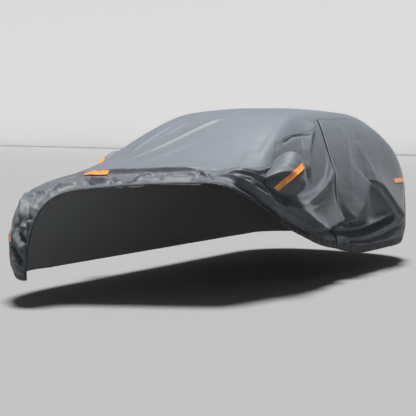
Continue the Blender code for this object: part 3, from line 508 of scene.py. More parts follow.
def cloth_material(name, dark, pale, roughness=0.55, rumple=0.30, sheen=0.12, painted_shade_low=1.0, seam=0.0):
    """Coated cloth: clouded colour, a painted shade that darkens it towards the bottom, fine crumples, a
    tight weave.

    The cloth map runs down from the sewn edge, where the joint and its stitches are drawn."""
    material, add, finish = new_material(name)
    where = add("TexCoord")
    cloud = add("TexNoise", Vector=where["Object"], Scale=2.4, Detail=6.0, Roughness=0.62)
    colour = add("Mix", data_type="RGBA", A=(*dark, 1), B=(*pale, 1), Factor=cloud["Fac"])
    height = add("SeparateXYZ", Vector=where["Object"])
    # painted shade: below a set height the cloth colour is scaled darker, standing in for the shade that
    # falls on the lower cloth
    tone = add("MapRange", From_Min=PAINTED_SHADE_FOOT, From_Max=PAINTED_SHADE_HEAD, To_Min=painted_shade_low,
               Value=height["Z"])
    cut = add("SeparateXYZ", Vector=where["UV"])
    joint = add("MapRange", From_Min=JOINT_START, From_Max=JOINT_END, To_Min=1 - seam,
                Value=cut["Y"])
    pace = add("Math", operation="PINGPONG", in0=cut["X"], in1=STITCH_PITCH)
    thread = add("Math", operation="GREATER_THAN", in0=pace["Value"], in1=STITCH_GAP)
    row = add("Math", operation="COMPARE", in0=cut["Y"], in1=STITCH_ROW, in2=STITCH_WIDTH)
    stitch = add("Math", operation="MULTIPLY", in0=thread["Value"], in1=row["Value"])
    shade = add("Math", operation="MULTIPLY_ADD", in0=stitch["Value"],
                in1=-STITCH_SHADE * seam, in2=joint["Result"])
    level = add("Math", operation="MULTIPLY", in0=tone["Result"], in1=shade["Value"])
    painted_shade_colour = add("VectorMath", operation="SCALE", Vector=colour["Result"], Scale=level["Value"])
    warp = add("TexWave", bands_direction="X", Scale=WEAVE, Vector=where["UV"])
    weft = add("TexWave", bands_direction="Y", Scale=WEAVE, Vector=where["UV"])
    threads = add("Math", operation="MAXIMUM", in0=warp["Fac"], in1=weft["Fac"])
    crumple = add("TexNoise", Vector=where["Object"], Scale=8.0, Detail=6.0, Roughness=0.56,
                  Distortion=0.8)
    soft = add("Bump", Strength=rumple, Distance=0.012, Height=crumple["Fac"])
    fine = add("Bump", Strength=0.25, Distance=0.0004, Height=threads["Value"],
               Normal=soft["Normal"])
    sewn = add("Bump", Strength=seam, Distance=0.003, Height=shade["Value"],
               Normal=fine["Normal"])
    finish(Base_Color=painted_shade_colour["Vector"], Normal=sewn["Normal"], Roughness=roughness,
           Sheen_Weight=sheen, Sheen_Roughness=0.45, Specular_IOR_Level=0.35)
    return material


# painted shade: the skirt cloth is painted much darker towards the bottom, where shade falls
grey_cloth = cloth_material(
    "grey_coated_cloth", (0.112, 0.128, 0.148), (0.140, 0.158, 0.180), painted_shade_low=0.62, seam=0.6)
# painted shade: a near-black cloth for the skirts' foot rows and rim walls, standing in for the shade under
# the gathered hem
hem_painted_shade_cloth = cloth_material("hem_painted_shade_cloth", (0.016, 0.019, 0.023), (0.028, 0.032, 0.038), roughness=0.62)
lining = cloth_material("lining", (0.30, 0.31, 0.32), (0.36, 0.37, 0.38), roughness=0.85, sheen=0.3)
HOLD_REACH = 0.075             # how far above the hem the elastic holds the folds flat


def hang_skirt(name, form, flat, node, hole=None, pucker=0.0030, held=0.25, bound=HEM_ROWS + 2):
    """Lay a skirt's grid on the form, gather its foot, and make its sheet.

    pucker is the hem's height of ripple, held the share of the folds that the elastic pulls flat there, and
    bound the rows of the foot in near-black cloth, a painted shade for the hem's shadowed underside."""
    shape = form.shape
    rows = shape[1] - 1 - HEM_ROWS
    above = np.linalg.norm(form - form[:, -1:], axis=-1)
    slack = 1 - held * np.exp(-(above / HOLD_REACH) ** 2)
    outer, normals = lay_cloth(form.reshape(-1, 3), slack.ravel())
    outer = gather_hem(outer.reshape(shape), normals.reshape(shape), rows, pucker)
    inner = outer - CLOTH * normals.reshape(shape)
    inner[:, rows:] -= HEM_BULGE * normals.reshape(shape)[:, rows:]
    materials = (grey_cloth, hem_painted_shade_cloth, lining)
    cloth = make_sheet(name, outer, inner, flat, materials, hole=hole, hem_rows=bound)
    fit(cloth, node)
    return cloth, outer, normals.reshape(shape)


front_form, front_flat = skirt(FRONT_STATIONS, FRONT_COLUMNS, FRONT_ROWS)
front_cloth, _, _ = hang_skirt(
    "cloth_front", front_form, front_flat, "front_band",
    pucker=0.0012, held=0.85, bound=HEM_ROWS - 1)

# ------------ left side panels
# Two panels of the same coated cloth, joined by the long zip. The front one is drawn up over
# the deck, so its hem climbs; the rear one hangs to the foot. Both are sewn to the roof.
LEFT_STATIONS = [
    FRONT_STATIONS[-1],
    (0.610, 0.220, 0.760, -0.105, 0.910),
    (0.735, 0.310, 0.850, 0.020, 0.857),
    (0.795, 0.430, 0.893, 0.220, 0.777),
    (0.800, 0.600, 0.913, 0.455, 0.672),
    (0.745, 0.800, 0.921, 0.744, 0.524),
    (0.700, 1.050, 0.924, 0.960, 0.448),
    (0.688, 1.300, 0.924, 1.170, 0.376),
    (0.672, 1.550, 0.922, 1.370, 0.323),
    (0.607, 1.790, 0.915, 1.580, 0.285),
    (0.604, 2.050, 0.905, 1.850, 0.230),
    (0.603, 2.330, 0.878, 2.200, 0.185),
    (0.602, 2.600, 0.875, 2.550, 0.18),
    (0.592, 2.850, 0.875, 2.880, 0.18),
    (0.570, 3.050, 0.830, 3.200, 0.19),
    (0.540, 3.220, 0.690, 3.430, 0.19),
]
LEFT_COLUMNS, LEFT_ROWS = 440, 100
ZIP_COLUMN = 264
LEFT_MOUTH = ((104, 160), (8, 68))
MOUTH_EDGE, MOUTH_REACH = 0.999, 2      # half mouths from its middle: where easing starts and ends

FOLDS += [
    # long edge that falls to the low point, and the hollow under it
    (0.08, 0.12, 0.014, 0.2, 0.06, [(91, 61, 74), (91, 78, 67), (92, 97, 59), (92, 115, 51), (92, 128, 48),
        (92, 142, 51), (92, 161, 54)]),
    (-0.04, 0.012, 0.034, 0.2, 0.1, [(91, 73, 67), (92, 91, 60), (92, 111, 50), (92, 128, 45), (92, 138, 46),
        (92, 163, 49)]),
    # crescents left of the zip
    (0.034, 0.07, 0.016, 0.15, 0.25, [(82, 165, 102), (85, 159, 95), (87, 148, 88), (89, 131, 81),
        (90, 115, 76), (91, 96, 72), (91, 76, 70), (91, 70, 70)]),
    (0.018, 0.044, 0.014, 0.3, 0.3, [(91, 136, 72), (91, 117, 68), (91, 92, 66), (91, 80, 66)]),
    (0.022, 0.044, 0.016, 0.2, 0.3, [(77, 165, 113), (82, 157, 101), (86, 145, 90), (89, 127, 82),
        (90, 109, 78), (90, 87, 76)]),
    # edge below the head of the zip
    (0.04, 0.02, 0.08, 0.05, 0.15, [(65, 162, 134), (71, 145, 124), (77, 129, 112), (81, 125, 104),
        (85, 113, 94)]),
    # puckers under the roof seam
    (-0.014, 0.012, 0.012, [(74, 78, 116), (73, 90, 120), (72, 106, 123), (70, 120, 126), (70, 133, 126),
        (71, 140, 125), (70, 147, 126)]),
    (-0.008, 0.008, 0.012, 0.1, 0.4, [(71, 130, 125), (75, 124, 117), (79, 120, 109)]),
    # notch in the hem at the foot of the zip
    (-0.04, 0.02, 0.03, 0.15, 0.3, [(92, 159, 52), (92, 174, 50), (92, 184, 50), (92, 186, 54)]),
    # sweeping folds above the rear hem, grooves and ridges in turn
    (-0.055, 0.016, 0.03, 0.15, 0.2, [(92, 138, 46), (92, 173, 41), (92, 200, 40), (92, 226, 41),
        (92, 253, 44), (92, 272, 48), (92, 280, 52)]),
    (0.046, 0.022, 0.016, 0.3, 0.2, [(92, 169, 44), (92, 191, 44), (92, 212, 45), (92, 238, 48),
        (92, 263, 52)]),
    (0.046, 0.03, 0.014, [(92, 162, 37), (92, 180, 35), (92, 203, 34), (92, 226, 36), (92, 256, 40),
        (92, 282, 44)]),
    (-0.034, 0.012, 0.018, [(92, 174, 33), (92, 216, 29), (92, 245, 30), (92, 274, 34), (91, 302, 38)]),
    (0.024, 0.014, 0.012, [(92, 149, 34), (92, 180, 30), (92, 225, 27), (92, 258, 27), (92, 289, 30)]),
    # the two slopes of the tall fold over the rear quarter
    (0.085, 0.018, 0.12, 0.18, 0.12, [(88, 222, 84), (90, 213, 79), (91, 205, 72), (92, 198, 64),
        (92, 188, 58), (92, 183, 53), (92, 174, 49)]),
    (0.065, 0.16, 0.015, 0.12, 0.15, [(88, 223, 84), (90, 244, 77), (91, 258, 67), (92, 273, 56),
        (92, 295, 42)]),
    # soft bands and a hollow from the roof seam down
    (0.014, 0.05, 0.07, 0.3, 0.3, [(66, 219, 133), (75, 210, 116), (83, 198, 99), (89, 187, 82),
        (91, 180, 67)]),
    (-0.012, 0.05, 0.05, 0.3, 0.3, [(63, 247, 137), (72, 236, 122), (80, 225, 107), (86, 208, 92)]),
    (0.012, 0.05, 0.04, 0.3, 0.3, [(73, 232, 120), (78, 232, 110), (84, 234, 98), (88, 229, 86)]),
    # folds drawn to the pocket
    (0.012, 0.014, 0.04, 0.3, 0.3, [(81, 68, 104), (82, 42, 98), (80, 33, 98)]),
    (0.008, 0.012, 0.02, 0.2, 0.3, [(80, 73, 106), (82, 60, 100), (85, 47, 93), (87, 51, 89)]),
]


def round_mouth(grid, mouth, last_row):
    """Ease the crossings near a square mouth, so that the mouth is oval."""
    (first, last), (upper, lower) = mouth
    middle = np.array([(first + last) / 2, (upper + lower) / 2])
    half = np.array([(last - first) / 2, (lower - upper) / 2])
    columns, rows = np.meshgrid(np.arange(grid.shape[0]), np.arange(grid.shape[1]), indexing="ij")
    places = np.stack([columns, rows], axis=-1)
    away = (places - middle) / half
    square = np.max(np.abs(away), axis=-1)
    circle = np.maximum(1e-6, np.linalg.norm(away, axis=-1))
    moves = (square > MOUTH_EDGE) & (square < MOUTH_REACH)
    moves &= (rows > 0) & (rows < last_row) & (columns > 0)
    change = 1 + (MOUTH_REACH - square) ** 2 * (square / circle - 1)
    target = np.where(moves[..., None], middle + half * away * change[..., None], places)
    low = np.minimum(np.floor(target).astype(int), np.array(grid.shape[:2]) - 2)
    part = target - low
    total = 0
    for column, row in np.ndindex(2, 2):
        share = np.where((column, row), part, 1 - part).prod(axis=-1)
        total = total + share[..., None] * grid[low[..., 0] + column, low[..., 1] + row]
    return total


left_form, left_flat = skirt(LEFT_STATIONS, LEFT_COLUMNS, LEFT_ROWS)
left_form = round_mouth(left_form, LEFT_MOUTH, LEFT_ROWS)
left_flat = round_mouth(left_flat, LEFT_MOUTH, LEFT_ROWS)
left_front_cloth, left_outer, left_normals = hang_skirt(
    "cloth_left_front", left_form[:ZIP_COLUMN + 1], left_flat[:ZIP_COLUMN + 1], "left_front_panel",
    hole=LEFT_MOUTH)
left_rear_cloth, _, _ = hang_skirt(
    "cloth_left_rear", left_form[ZIP_COLUMN:], left_flat[ZIP_COLUMN:], "left_rear_panel")

# ------------ tail and right side panels
# The skirt goes on round the tail and along the right side, of the same coated cloth. Both
# panels hang to the foot, where the elastic draws them in. These sides don't show in the photo.
TAIL_STATIONS = [
    LEFT_STATIONS[-1],
    (0.270, 3.290, 0.350, 3.545, 0.19),
    (0.000, 3.310, 0.000, 3.565, 0.19),
    (-0.270, 3.290, -0.350, 3.545, 0.19),
    (-0.540, 3.220, -0.690, 3.430, 0.19),
]
RIGHT_STATIONS = [
    TAIL_STATIONS[-1],
    (-0.570, 3.050, -0.830, 3.200, 0.19),
    (-0.592, 2.850, -0.875, 2.880, 0.18),
    (-0.602, 2.600, -0.875, 2.550, 0.18),
    (-0.603, 2.200, -0.875, 2.120, 0.18),
    (-0.640, 1.700, -0.875, 1.620, 0.18),
    (-0.690, 1.250, -0.875, 1.180, 0.18),
    (-0.740, 0.850, -0.875, 0.780, 0.18),
    (-0.790, 0.550, -0.875, 0.420, 0.18),
    (-0.730, 0.220, -0.875, 0.020, 0.18),
    (-0.600, 0.000, -0.880, -0.330, 0.19),
]
TAIL_COLUMNS, TAIL_ROWS = 110, 56
RIGHT_COLUMNS, RIGHT_ROWS = 300, 70
RIGHT_MOUTH = ((200, 230), (7, 28))

tail_form, tail_flat = skirt(TAIL_STATIONS, TAIL_COLUMNS, TAIL_ROWS)
hang_skirt("cloth_tail", tail_form, tail_flat, "tail_panel")
right_form, right_flat = skirt(RIGHT_STATIONS, RIGHT_COLUMNS, RIGHT_ROWS)
right_form = round_mouth(right_form, RIGHT_MOUTH, RIGHT_ROWS)
right_flat = round_mouth(right_flat, RIGHT_MOUTH, RIGHT_ROWS)
right_cloth, right_outer, right_normals = hang_skirt(
    "cloth_right", right_form, right_flat, "right_panel", hole=RIGHT_MOUTH)

# ------------ top panel
# One long panel over the roof, the screen slope and the rear of the deck, of the same coated
# cloth. The skirts are sewn to it all round. Its longest crease runs down the screen slope.
TOP_ACROSS, TOP_ALONG = 110, 260
# painted shade: the top cloth is painted a little darker towards the bottom
top_grey = cloth_material("grey_top_cloth", (0.110, 0.126, 0.146), (0.138, 0.156, 0.178), painted_shade_low=0.92)

FOLDS += [
    # the longest crease of the screen slope, and its shade
    (0.011, 0.01, 0.06, 0.1, 0.3, [(6, 112, 141), (0, 102, 137), (-6, 93, 133), (-12, 82, 128),
        (-17, 73, 123), (-23, 64, 119), (-30, 56, 114), (-38, 49, 111), (-45, 41, 107)]),
    (-0.008, 0.02, 0.01, 0.1, 0.3, [(5, 106, 139), (-2, 95, 134), (-9, 84, 129), (-16, 73, 123),
        (-23, 62, 118), (-31, 53, 113), (-39, 45, 109), (-45, 33, 104)]),
    # lesser creases of the screen slope
    (0.006, 0.012, 0.05, 0.3, 0.3, [(8, 70, 122), (-1, 60, 118), (-10, 49, 112), (-18, 38, 107),
        (-25, 25, 103)]),
    (0.01, 0.016, 0.04, 0.2, 0.3, [(-40, 104, 136), (-44, 92, 130), (-48, 79, 124), (-51, 66, 117),
        (-54, 53, 111)]),
    (-0.008, 0.014, 0.014, 0.2, 0.3, [(-26, 106, 138), (-30, 90, 131), (-37, 79, 125), (-43, 69, 120)]),
    # shallow line from the roof to the deck corner
    (-0.01, 0.03, 0.03, 0.3, 0.3, [(45, 153, 146), (55, 118, 139), (60, 94, 129), (64, 74, 119),
        (66, 58, 111)]),
]


def seam_line(stations, count):
    """The sewn edge of a skirt, seen from above."""
    return station_at(stations, np.linspace(0, 1, count + 1))[:, :2]


nose_seam = seam_line(FRONT_STATIONS, TOP_ACROSS)
left_seam = seam_line(LEFT_STATIONS, TOP_ALONG)
tail_seam = seam_line(TAIL_STATIONS, TOP_ACROSS)[::-1]
right_seam = seam_line(RIGHT_STATIONS, TOP_ALONG)[::-1]
across = np.linspace(0, 1, TOP_ACROSS + 1)[None, :, None]
along = np.linspace(0, 1, TOP_ALONG + 1)[:, None, None]
plan = (1 - along) * nose_seam[None] + along * tail_seam[None]
plan = plan + (1 - across) * right_seam[:, None] + across * left_seam[:, None]
plan = plan - (1 - along) * ((1 - across) * nose_seam[0] + across * nose_seam[-1])
plan = plan - along * ((1 - across) * tail_seam[0] + across * tail_seam[-1])
top_form = np.dstack([plan, form_height(plan[..., 0], plan[..., 1])])[:, ::-1]
top_outer, top_normals = lay_cloth(top_form.reshape(-1, 3))
top_outer = top_outer.reshape(top_form.shape)
top_inner = top_outer - CLOTH * top_normals.reshape(top_form.shape)
top_cloth = make_sheet(
    "cloth_top", top_outer, top_inner, top_form[..., :2], (top_grey, top_grey, lining))
fit(top_cloth, "top_panel")

# ------------ side pockets
# A hood of the same cloth is sewn over an oval mouth in each side panel and stands out from it.
# Each is drawn to a rounded tip, and its upper half is raised.
LEFT_TIP = (1.030, 0.75, 0.955)
RIGHT_TIP = (-0.945, 0.70, 0.97)
POCKET_RINGS = 40
LEFT_ROUNDNESS = 2.0
RIGHT_ROUNDNESS = 3.6
LEFT_LIFT = 0.080
RIGHT_LIFT = 0.030
POCKET_COLLAR = 0.004
POCKET_GAP = 0.0004
POCKET_SWELLS = ((0.004, 0.12, 31), (0.0015, 0.05, 32))     # height, patch size, seed


def add_pocket(name, panel, normals, mouth, tip, lift, roundness, node):
    """A hood of cloth over an oval mouth in a side panel, open to the inside."""
    (first, last), (upper, lower) = mouth
    loop = [(column, upper) for column in range(first, last)]
    loop += [(last, row) for row in range(upper, lower)]
    loop += [(column, lower) for column in range(last, first, -1)]
    loop += [(first, row) for row in range(lower, upper, -1)]
    edge = np.array([panel[place] for place in loop])
    up = np.array([normals[place] for place in loop])
    middle = edge.mean(axis=0)
    edge = edge + POCKET_GAP * unit(middle - edge)
    rings = [edge - CLOTH * up, edge + POCKET_COLLAR * up]
    reach = np.array(tip) - middle
    height = edge[:, 2] - middle[2]
    raised = np.clip(0.5 + 0.5 * height / height.max(), 0, 1)
    for turn in np.linspace(0, np.pi / 2, POCKET_RINGS + 1)[1:-1]:
        keep = np.cos(turn) ** (2 / roundness)
        rise = np.sin(turn) ** (2 / roundness)
        crown = np.outer(lift * np.sin(2 * turn) * raised, (0.0, 0.0, 1.0))
        rings.append(middle + POCKET_COLLAR * up * keep + (edge - middle) * keep + reach * rise + crown)
    rings.append(np.tile(np.array(tip), (len(edge), 1)))
    outer = np.array(rings).transpose(1, 0, 2)
    around = np.roll(outer, -1, axis=0) - np.roll(outer, 1, axis=0)
    facing = np.cross(np.gradient(outer, axis=1), around)
    facing *= np.sign(np.sum(facing[:, :-1] * (outer - middle)[:, :-1]))
    facing[:, -1] = reach
    facing = unit(facing)
    shape = outer.shape
    relief = sum(high * drift(outer.reshape(-1, 3), size, seed) for high, size, seed in POCKET_SWELLS)
    relief = relief.reshape(shape[:2]) * np.linspace(0, 1, shape[1]) ** 0.5
    relief[:, -1] = relief[:, -1].mean()
    outer = outer + facing * relief[..., None]
    lengths = np.array([length_along(line) for line in outer])
    flat = np.stack([np.broadcast_to(length_along(edge)[:, None], lengths.shape), lengths], axis=-1)
    materials = (grey_cloth, grey_cloth, lining)
    hood = make_sheet(name, outer, outer - CLOTH * facing, flat, materials, closed=True)
    fit(hood, node)
    return hood


left_hood = add_pocket(
    "hood_left", left_outer, left_normals, LEFT_MOUTH, LEFT_TIP, LEFT_LIFT, LEFT_ROUNDNESS, "left_pocket")
right_hood = add_pocket(
    "hood_right", right_outer, right_normals, RIGHT_MOUTH, RIGHT_TIP, RIGHT_LIFT, RIGHT_ROUNDNESS,
    "right_pocket")

# ------------ zip
# A closed coil zip joins the left panels: two dark tapes with moulded teeth, a pale piping
# along the rear tape, and a metal slider with its pull at the foot.
ZIP_HALF_WIDTH = 0.012
ZIP_STEPS = 260
ZIP_HEAD_MARGIN, ZIP_FOOT_MARGIN = 0.004, 0.03
TAPE_THICKNESS = 0.0012
TAPE_LIFTS = (0.0010, 0.0022, 0.0024, 0.0022, 0.0010)       # over the cloth, across the tape
TOOTH = (0.0045, 0.0034, 0.0022)
TOOTH_PITCH, TOOTH_STAGGER, TOOTH_LIFT = 0.006, 0.0012, 0.0030
PIPING_RADIUS, PIPING_SIDES = 0.0028, 10
PIPING_OFFSET, PIPING_LIFT = 0.0155, 0.0022
SLIDER_PLACE = -17                                          # in steps of the path, from its foot
# The slider's body and its pull: steps down from there, lift, size
SLIDER_PARTS = ((0, 0.0050, (0.020, 0.013, 0.0045)), (5, 0.0060, (0.032, 0.008, 0.0018)))


def plain_material(name, colour, roughness, metallic=0.0):
    """Moulded or woven small parts: a fine grain in the colour and the relief."""
    material, add, finish = new_material(name)
    where = add("TexCoord")
    noise = add("TexNoise", Scale=60.0, Detail=4.0, Vector=where["Object"])
    dark, pale = ((*[share * value for value in colour], 1) for share in (0.75, 1.25))
    tint = add("Mix", data_type="RGBA", A=dark, B=pale, Factor=noise["Fac"])
    relief = add("Bump", Strength=0.2, Distance=0.001, Height=noise["Fac"])
    finish(Base_Color=tint["Result"], Normal=relief["Normal"], Roughness=roughness, Metallic=metallic)
    return material


zip_cloth = plain_material("dark_zip", (0.018, 0.020, 0.024), 0.6)
zip_teeth = plain_material("zip_teeth", (0.03, 0.032, 0.036), 0.35)
piping_cloth = plain_material("pale_piping", (0.26, 0.29, 0.33), 0.5)
slider_metal = plain_material("slider_metal", (0.10, 0.10, 0.11), 0.35, metallic=0.8)


BOX_FACES = np.array([(0, 2, 3, 1), (4, 5, 7, 6), (0, 1, 5, 4), (2, 6, 7, 3), (0, 4, 6, 2), (1, 3, 7, 5)])


def boxes_on(places, ways, sides, ups, size):
    """A small block at each place, sized along the path, across it and outward."""
    corners = (np.array(list(np.ndindex(2, 2, 2))) - (0.5, 0.5, 0.0)) * size
    points = np.asarray(places)[:, None] + corners @ np.stack([ways, sides, ups], axis=1)
    faces = BOX_FACES + 8 * np.arange(len(points))[:, None, None]
    return points.reshape(-1, 3), faces.reshape(-1, 4)


zip_edge = left_outer[-1]
zip_length = length_along(zip_edge)[-1]
zip_steps = np.linspace(ZIP_HEAD_MARGIN, zip_length - ZIP_FOOT_MARGIN, ZIP_STEPS)
zip_path = at_length(zip_edge, zip_steps)
zip_up = form_normal(zip_path)
zip_way = unit(np.gradient(zip_path, axis=0))
zip_up = unit(zip_up - np.sum(zip_up * zip_way, axis=-1, keepdims=True) * zip_way)
zip_rear = np.cross(zip_up, zip_way)
offsets = np.linspace(-ZIP_HALF_WIDTH, ZIP_HALF_WIDTH, len(TAPE_LIFTS))
lifts = np.array(TAPE_LIFTS)
tape = zip_path[:, None] + offsets[:, None] * zip_rear[:, None] + lifts[:, None] * zip_up[:, None]
tape_flat = np.stack(np.meshgrid(zip_steps, offsets, indexing="ij"), axis=-1)
tape_under = tape[:, ::-1]
tape_over = tape_under + TAPE_THICKNESS * zip_up[:, None]
zip_tape = make_sheet("zip_tape", tape_over, tape_under, tape_flat, (zip_cloth,) * 3)
fit(zip_tape, "door_zip")

tooth_steps = np.arange(zip_steps[0], zip_steps[-1], TOOTH_PITCH)
tooth_places = at_length(zip_path, tooth_steps - zip_steps[0])
tooth_up = at_length(zip_up, np.interp(tooth_steps, zip_steps, length_along(zip_up)))
tooth_way = at_length(zip_way, np.interp(tooth_steps, zip_steps, length_along(zip_way)))
tooth_rear = np.cross(tooth_up, tooth_way)
stagger = TOOTH_STAGGER * (-1.0) ** np.arange(len(tooth_steps))
tooth_places = tooth_places + stagger[:, None] * tooth_rear + TOOTH_LIFT * tooth_up
tooth_points, tooth_faces = boxes_on(tooth_places, tooth_way, tooth_rear, tooth_up, TOOTH)
teeth = make_object("zip_coil", tooth_points, tooth_faces.tolist(), (zip_teeth,))
fit(teeth)

ring = np.linspace(0, 2 * np.pi, PIPING_SIDES, endpoint=False)
piping_middle = zip_path + PIPING_OFFSET * zip_rear + PIPING_LIFT * zip_up
piping = piping_middle[:, None] + PIPING_RADIUS * (
    np.cos(ring)[None, :, None] * zip_rear[:, None] + np.sin(ring)[None, :, None] * zip_up[:, None])
sides = np.arange(PIPING_SIDES)
turned = np.roll(sides, -1)
quad = np.column_stack([sides, turned, turned + PIPING_SIDES, sides + PIPING_SIDES])
piping_faces = np.concatenate([quad + PIPING_SIDES * step for step in range(ZIP_STEPS - 1)]).tolist()
piping_faces += [sides[::-1].tolist(), (sides + PIPING_SIDES * (ZIP_STEPS - 1)).tolist()]
piping_tube = make_object("piping_tube", piping.reshape(-1, 3), piping_faces, (piping_cloth,))
fit(piping_tube, "zip_piping")

slider_way, slider_rear, slider_up = (turn[SLIDER_PLACE] for turn in (zip_way, zip_rear, zip_up))
slider_blocks = []
for steps_down, lift, size in SLIDER_PARTS:
    place = zip_path[SLIDER_PLACE + steps_down] + lift * slider_up
    slider_blocks.append(boxes_on([place], [slider_way], [slider_rear], [slider_up], size))
(body_points, body_faces), (pull_points, pull_faces) = slider_blocks
slider_points = np.concatenate([body_points, pull_points])
slider_faces = np.concatenate([body_faces, pull_faces + len(body_points)])
slider_body = make_object("slider_body", slider_points, slider_faces.tolist(), (slider_metal,))
fit(slider_body, "zip_slider")

# ------------ reflective strips
# Five strips of orange reflective tape, sewn on at both edges: on each pocket, across the deck
# seam, on the front corner and near the tail. A fine grid of prisms shows in their face.
STRIP_HALF_WIDTH = 0.022
STRIP_THICKNESS = 0.0011
STRIP_LIFT = 0.0012
STRIP_LOOK = 0.3               # how far out the look down for the cloth starts
STRIP_TAUTNESS = 60
STRIP_STEPS, STRIP_ACROSS = 60, 10
LEFT_POCKET_MIDDLE = (0.87, 0.76, 0.90)
RIGHT_POCKET_MIDDLE = (-0.86, 0.80, 0.95)
STRIPS = dict(
    strip_left_pocket=[
        (0.925, 0.515, 0.860), (0.960, 0.530, 0.895), (0.985, 0.560, 0.925), (1.005, 0.605, 0.955),
        (1.025, 0.650, 0.990), (1.015, 0.740, 1.015), (0.995, 0.800, 1.030)],
    strip_right_pocket=[(-0.905, 0.600, 0.985), (-0.905, 0.625, 1.020), (-0.895, 0.660, 1.050)],
    strip_front=[(-0.502, -0.107, 0.960), (-0.360, -0.135, 0.964), (-0.246, -0.120, 0.966)],
    strip_corner=[(-0.80, -0.66, 0.50), (-0.73, -0.77, 0.50), (-0.62, -0.85, 0.50)],
    strip_tail=[(0.90, 2.80, 0.81), (0.86, 3.08, 0.80)],
)


def reflective_tape():
    """Orange tape, worn in patches, with the thin edges of its prisms drawn darker."""
    material, add, finish = new_material("orange_reflective_tape")
    where = add("TexCoord")
    prisms = add("TexVoronoi", feature="DISTANCE_TO_EDGE", Scale=260.0, Randomness=0.25,
                 Vector=where["UV"])
    edges = add("MapRange", From_Max=0.12, Value=prisms["Distance"])
    wear = add("TexNoise", Scale=22.0, Detail=5.0, Vector=where["Object"])
    worn = add("Mix", data_type="RGBA", A=(0.80, 0.20, 0.030, 1), B=(1.0, 0.42, 0.10, 1),
               Factor=wear["Fac"])
    face = add("Mix", data_type="RGBA", blend_type="MULTIPLY", Factor=0.35,
               A=worn["Result"], B=edges["Result"])
    relief = add("Bump", Strength=0.4, Distance=0.0006, Height=prisms["Distance"])
    finish(Base_Color=face["Result"], Normal=relief["Normal"], Roughness=0.34, Coat_Weight=0.35)
    return material


orange_tape = reflective_tape()


def surface_of(*things):
    """The standing surface of some sheets, to lay sewn-on pieces on."""
    points, faces = [], []
    for thing in things:
        faces += [[len(points) + corner for corner in face.vertices] for face in thing.data.polygons]
        points += [vertex.co.copy() for vertex in thing.data.vertices]
    return BVHTree.FromPolygons(points, faces)


def sew_strip(node, carriers, out=None):
    """A taut strip of tape on the cloth below its path. It faces away from out, if that is given."""
    surface = surface_of(*carriers)
    path = np.array(STRIPS[node])
    path = at_length(path, np.linspace(0, length_along(path)[-1], STRIP_STEPS + 1))
    lift = unit(form_normal(path) if out is None else path - out)
    side = unit(np.cross(lift, np.gradient(path, axis=0)))
    offsets = np.linspace(-STRIP_HALF_WIDTH, STRIP_HALF_WIDTH, STRIP_ACROSS + 1)
    plain = path[:, None] + offsets[:, None] * side[:, None]
    up = np.broadcast_to(lift[:, None], plain.shape)
    rise = np.zeros(plain.shape[:2])
    for place in np.ndindex(rise.shape):
        start = plain[place] - HANG_POINT + STRIP_LOOK * up[place]
        hit = surface.ray_cast(start.tolist(), (-up[place]).tolist())[3]
        rise[place] = STRIP_LOOK - hit if hit is not None else rise[place[0], place[1] - 1]
    for _ in range(STRIP_TAUTNESS):
        around = np.pad(rise, 1, mode="edge")
        beside = around[:-2, 1:-1] + around[2:, 1:-1] + around[1:-1, :-2] + around[1:-1, 2:]
        rise = np.maximum(rise, beside / 4)
    under = plain + (rise[..., None] + STRIP_LIFT) * up
    flat = np.stack(np.meshgrid(length_along(path), offsets, indexing="ij"), axis=-1)
    strip = make_sheet("tape_" + node[6:], under + STRIP_THICKNESS * up, under, flat, (orange_tape,))
    fit(strip, node)
    return strip


sew_strip("strip_front", (front_cloth, top_cloth))
sew_strip("strip_corner", (front_cloth,))
sew_strip("strip_tail", (left_rear_cloth,))
sew_strip("strip_left_pocket", (left_hood, left_front_cloth), LEFT_POCKET_MIDDLE)
sew_strip("strip_right_pocket", (right_hood, right_cloth), RIGHT_POCKET_MIDDLE)

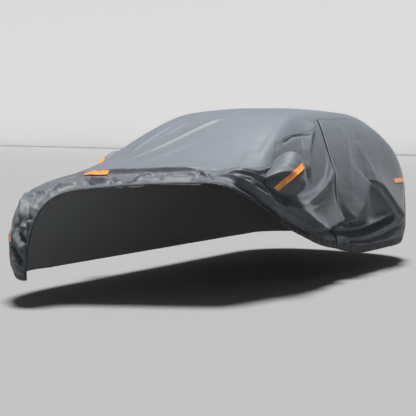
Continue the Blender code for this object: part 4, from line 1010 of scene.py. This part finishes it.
# ------------ floor, light and camera
# A plain pale floor and a bright wall far behind it, with broad soft light from straight above,
# and a camera at the photo's angle. None of it is part of the cover.
FLOOR_Z, FLOOR_REACH = -1.493, 60.0
WALL_Y, WALL_TOP = 26.0, 5.0
FLOOR_GREY, FLOOR_ROUGHNESS, WALL_GLOW = 0.21, 0.9, 0.42
WORLD_LIGHT = 0.15
KEY_LIGHT, KEY_SPREAD = 7.2, np.radians(18)
KEY_FROM = (-0.02, 0.06, 1.0)
LENS, SENSOR = 100.83, 36
CAMERA_PLACE = (5.476, -9.176, 0.001)
CAMERA_TURN = (np.radians(90 - 4.88), 0, np.radians(33.18))

floor_finish, _, finish = new_material("studio_white")
finish(Base_Color=(FLOOR_GREY, FLOOR_GREY, FLOOR_GREY, 1), Roughness=FLOOR_ROUGHNESS)
wall_finish, _, finish = new_material("studio_wall_light")
finish(Emission_Color=(1, 1, 1, 1), Emission_Strength=WALL_GLOW)


def studio_sheet(name, low, high, material):
    """A flat stage sheet as wide as the floor, between two edges given by y and z."""
    corners = [(-FLOOR_REACH, *low), (FLOOR_REACH, *low), (FLOOR_REACH, *high), (-FLOOR_REACH, *high)]
    mesh = bpy.data.meshes.new(name)
    mesh.from_pydata(corners, [], [(0, 1, 2, 3)])
    mesh.materials.append(material)
    sheet = bpy.data.objects.new(name, mesh)
    bpy.context.scene.collection.objects.link(sheet)
    return sheet


floor = studio_sheet("studio_floor", (-FLOOR_REACH, FLOOR_Z), (FLOOR_REACH, FLOOR_Z), floor_finish)
wall = studio_sheet("studio_wall", (WALL_Y, FLOOR_Z), (WALL_Y, WALL_TOP), wall_finish)

world = bpy.data.worlds.new("studio_world")
world.use_nodes = True
world.node_tree.nodes["Background"].inputs["Color"].default_value = (1, 1, 1, 1)
world.node_tree.nodes["Background"].inputs["Strength"].default_value = WORLD_LIGHT
bpy.context.scene.world = world
bpy.context.scene.view_settings.view_transform = "Standard"

key_data = bpy.data.lights.new("light_key", "SUN")
key_data.energy = KEY_LIGHT
key_data.angle = KEY_SPREAD
key = bpy.data.objects.new("light_key", key_data)
key.rotation_euler = Vector(KEY_FROM).to_track_quat("Z", "Y").to_euler()
bpy.context.scene.collection.objects.link(key)

camera_data = bpy.data.cameras.new("photo_camera")
camera_data.lens = LENS
camera_data.sensor_width = SENSOR
camera = bpy.data.objects.new("photo_camera", camera_data)
bpy.context.scene.collection.objects.link(camera)
camera.location = CAMERA_PLACE
camera.rotation_euler = CAMERA_TURN
bpy.context.scene.camera = camera
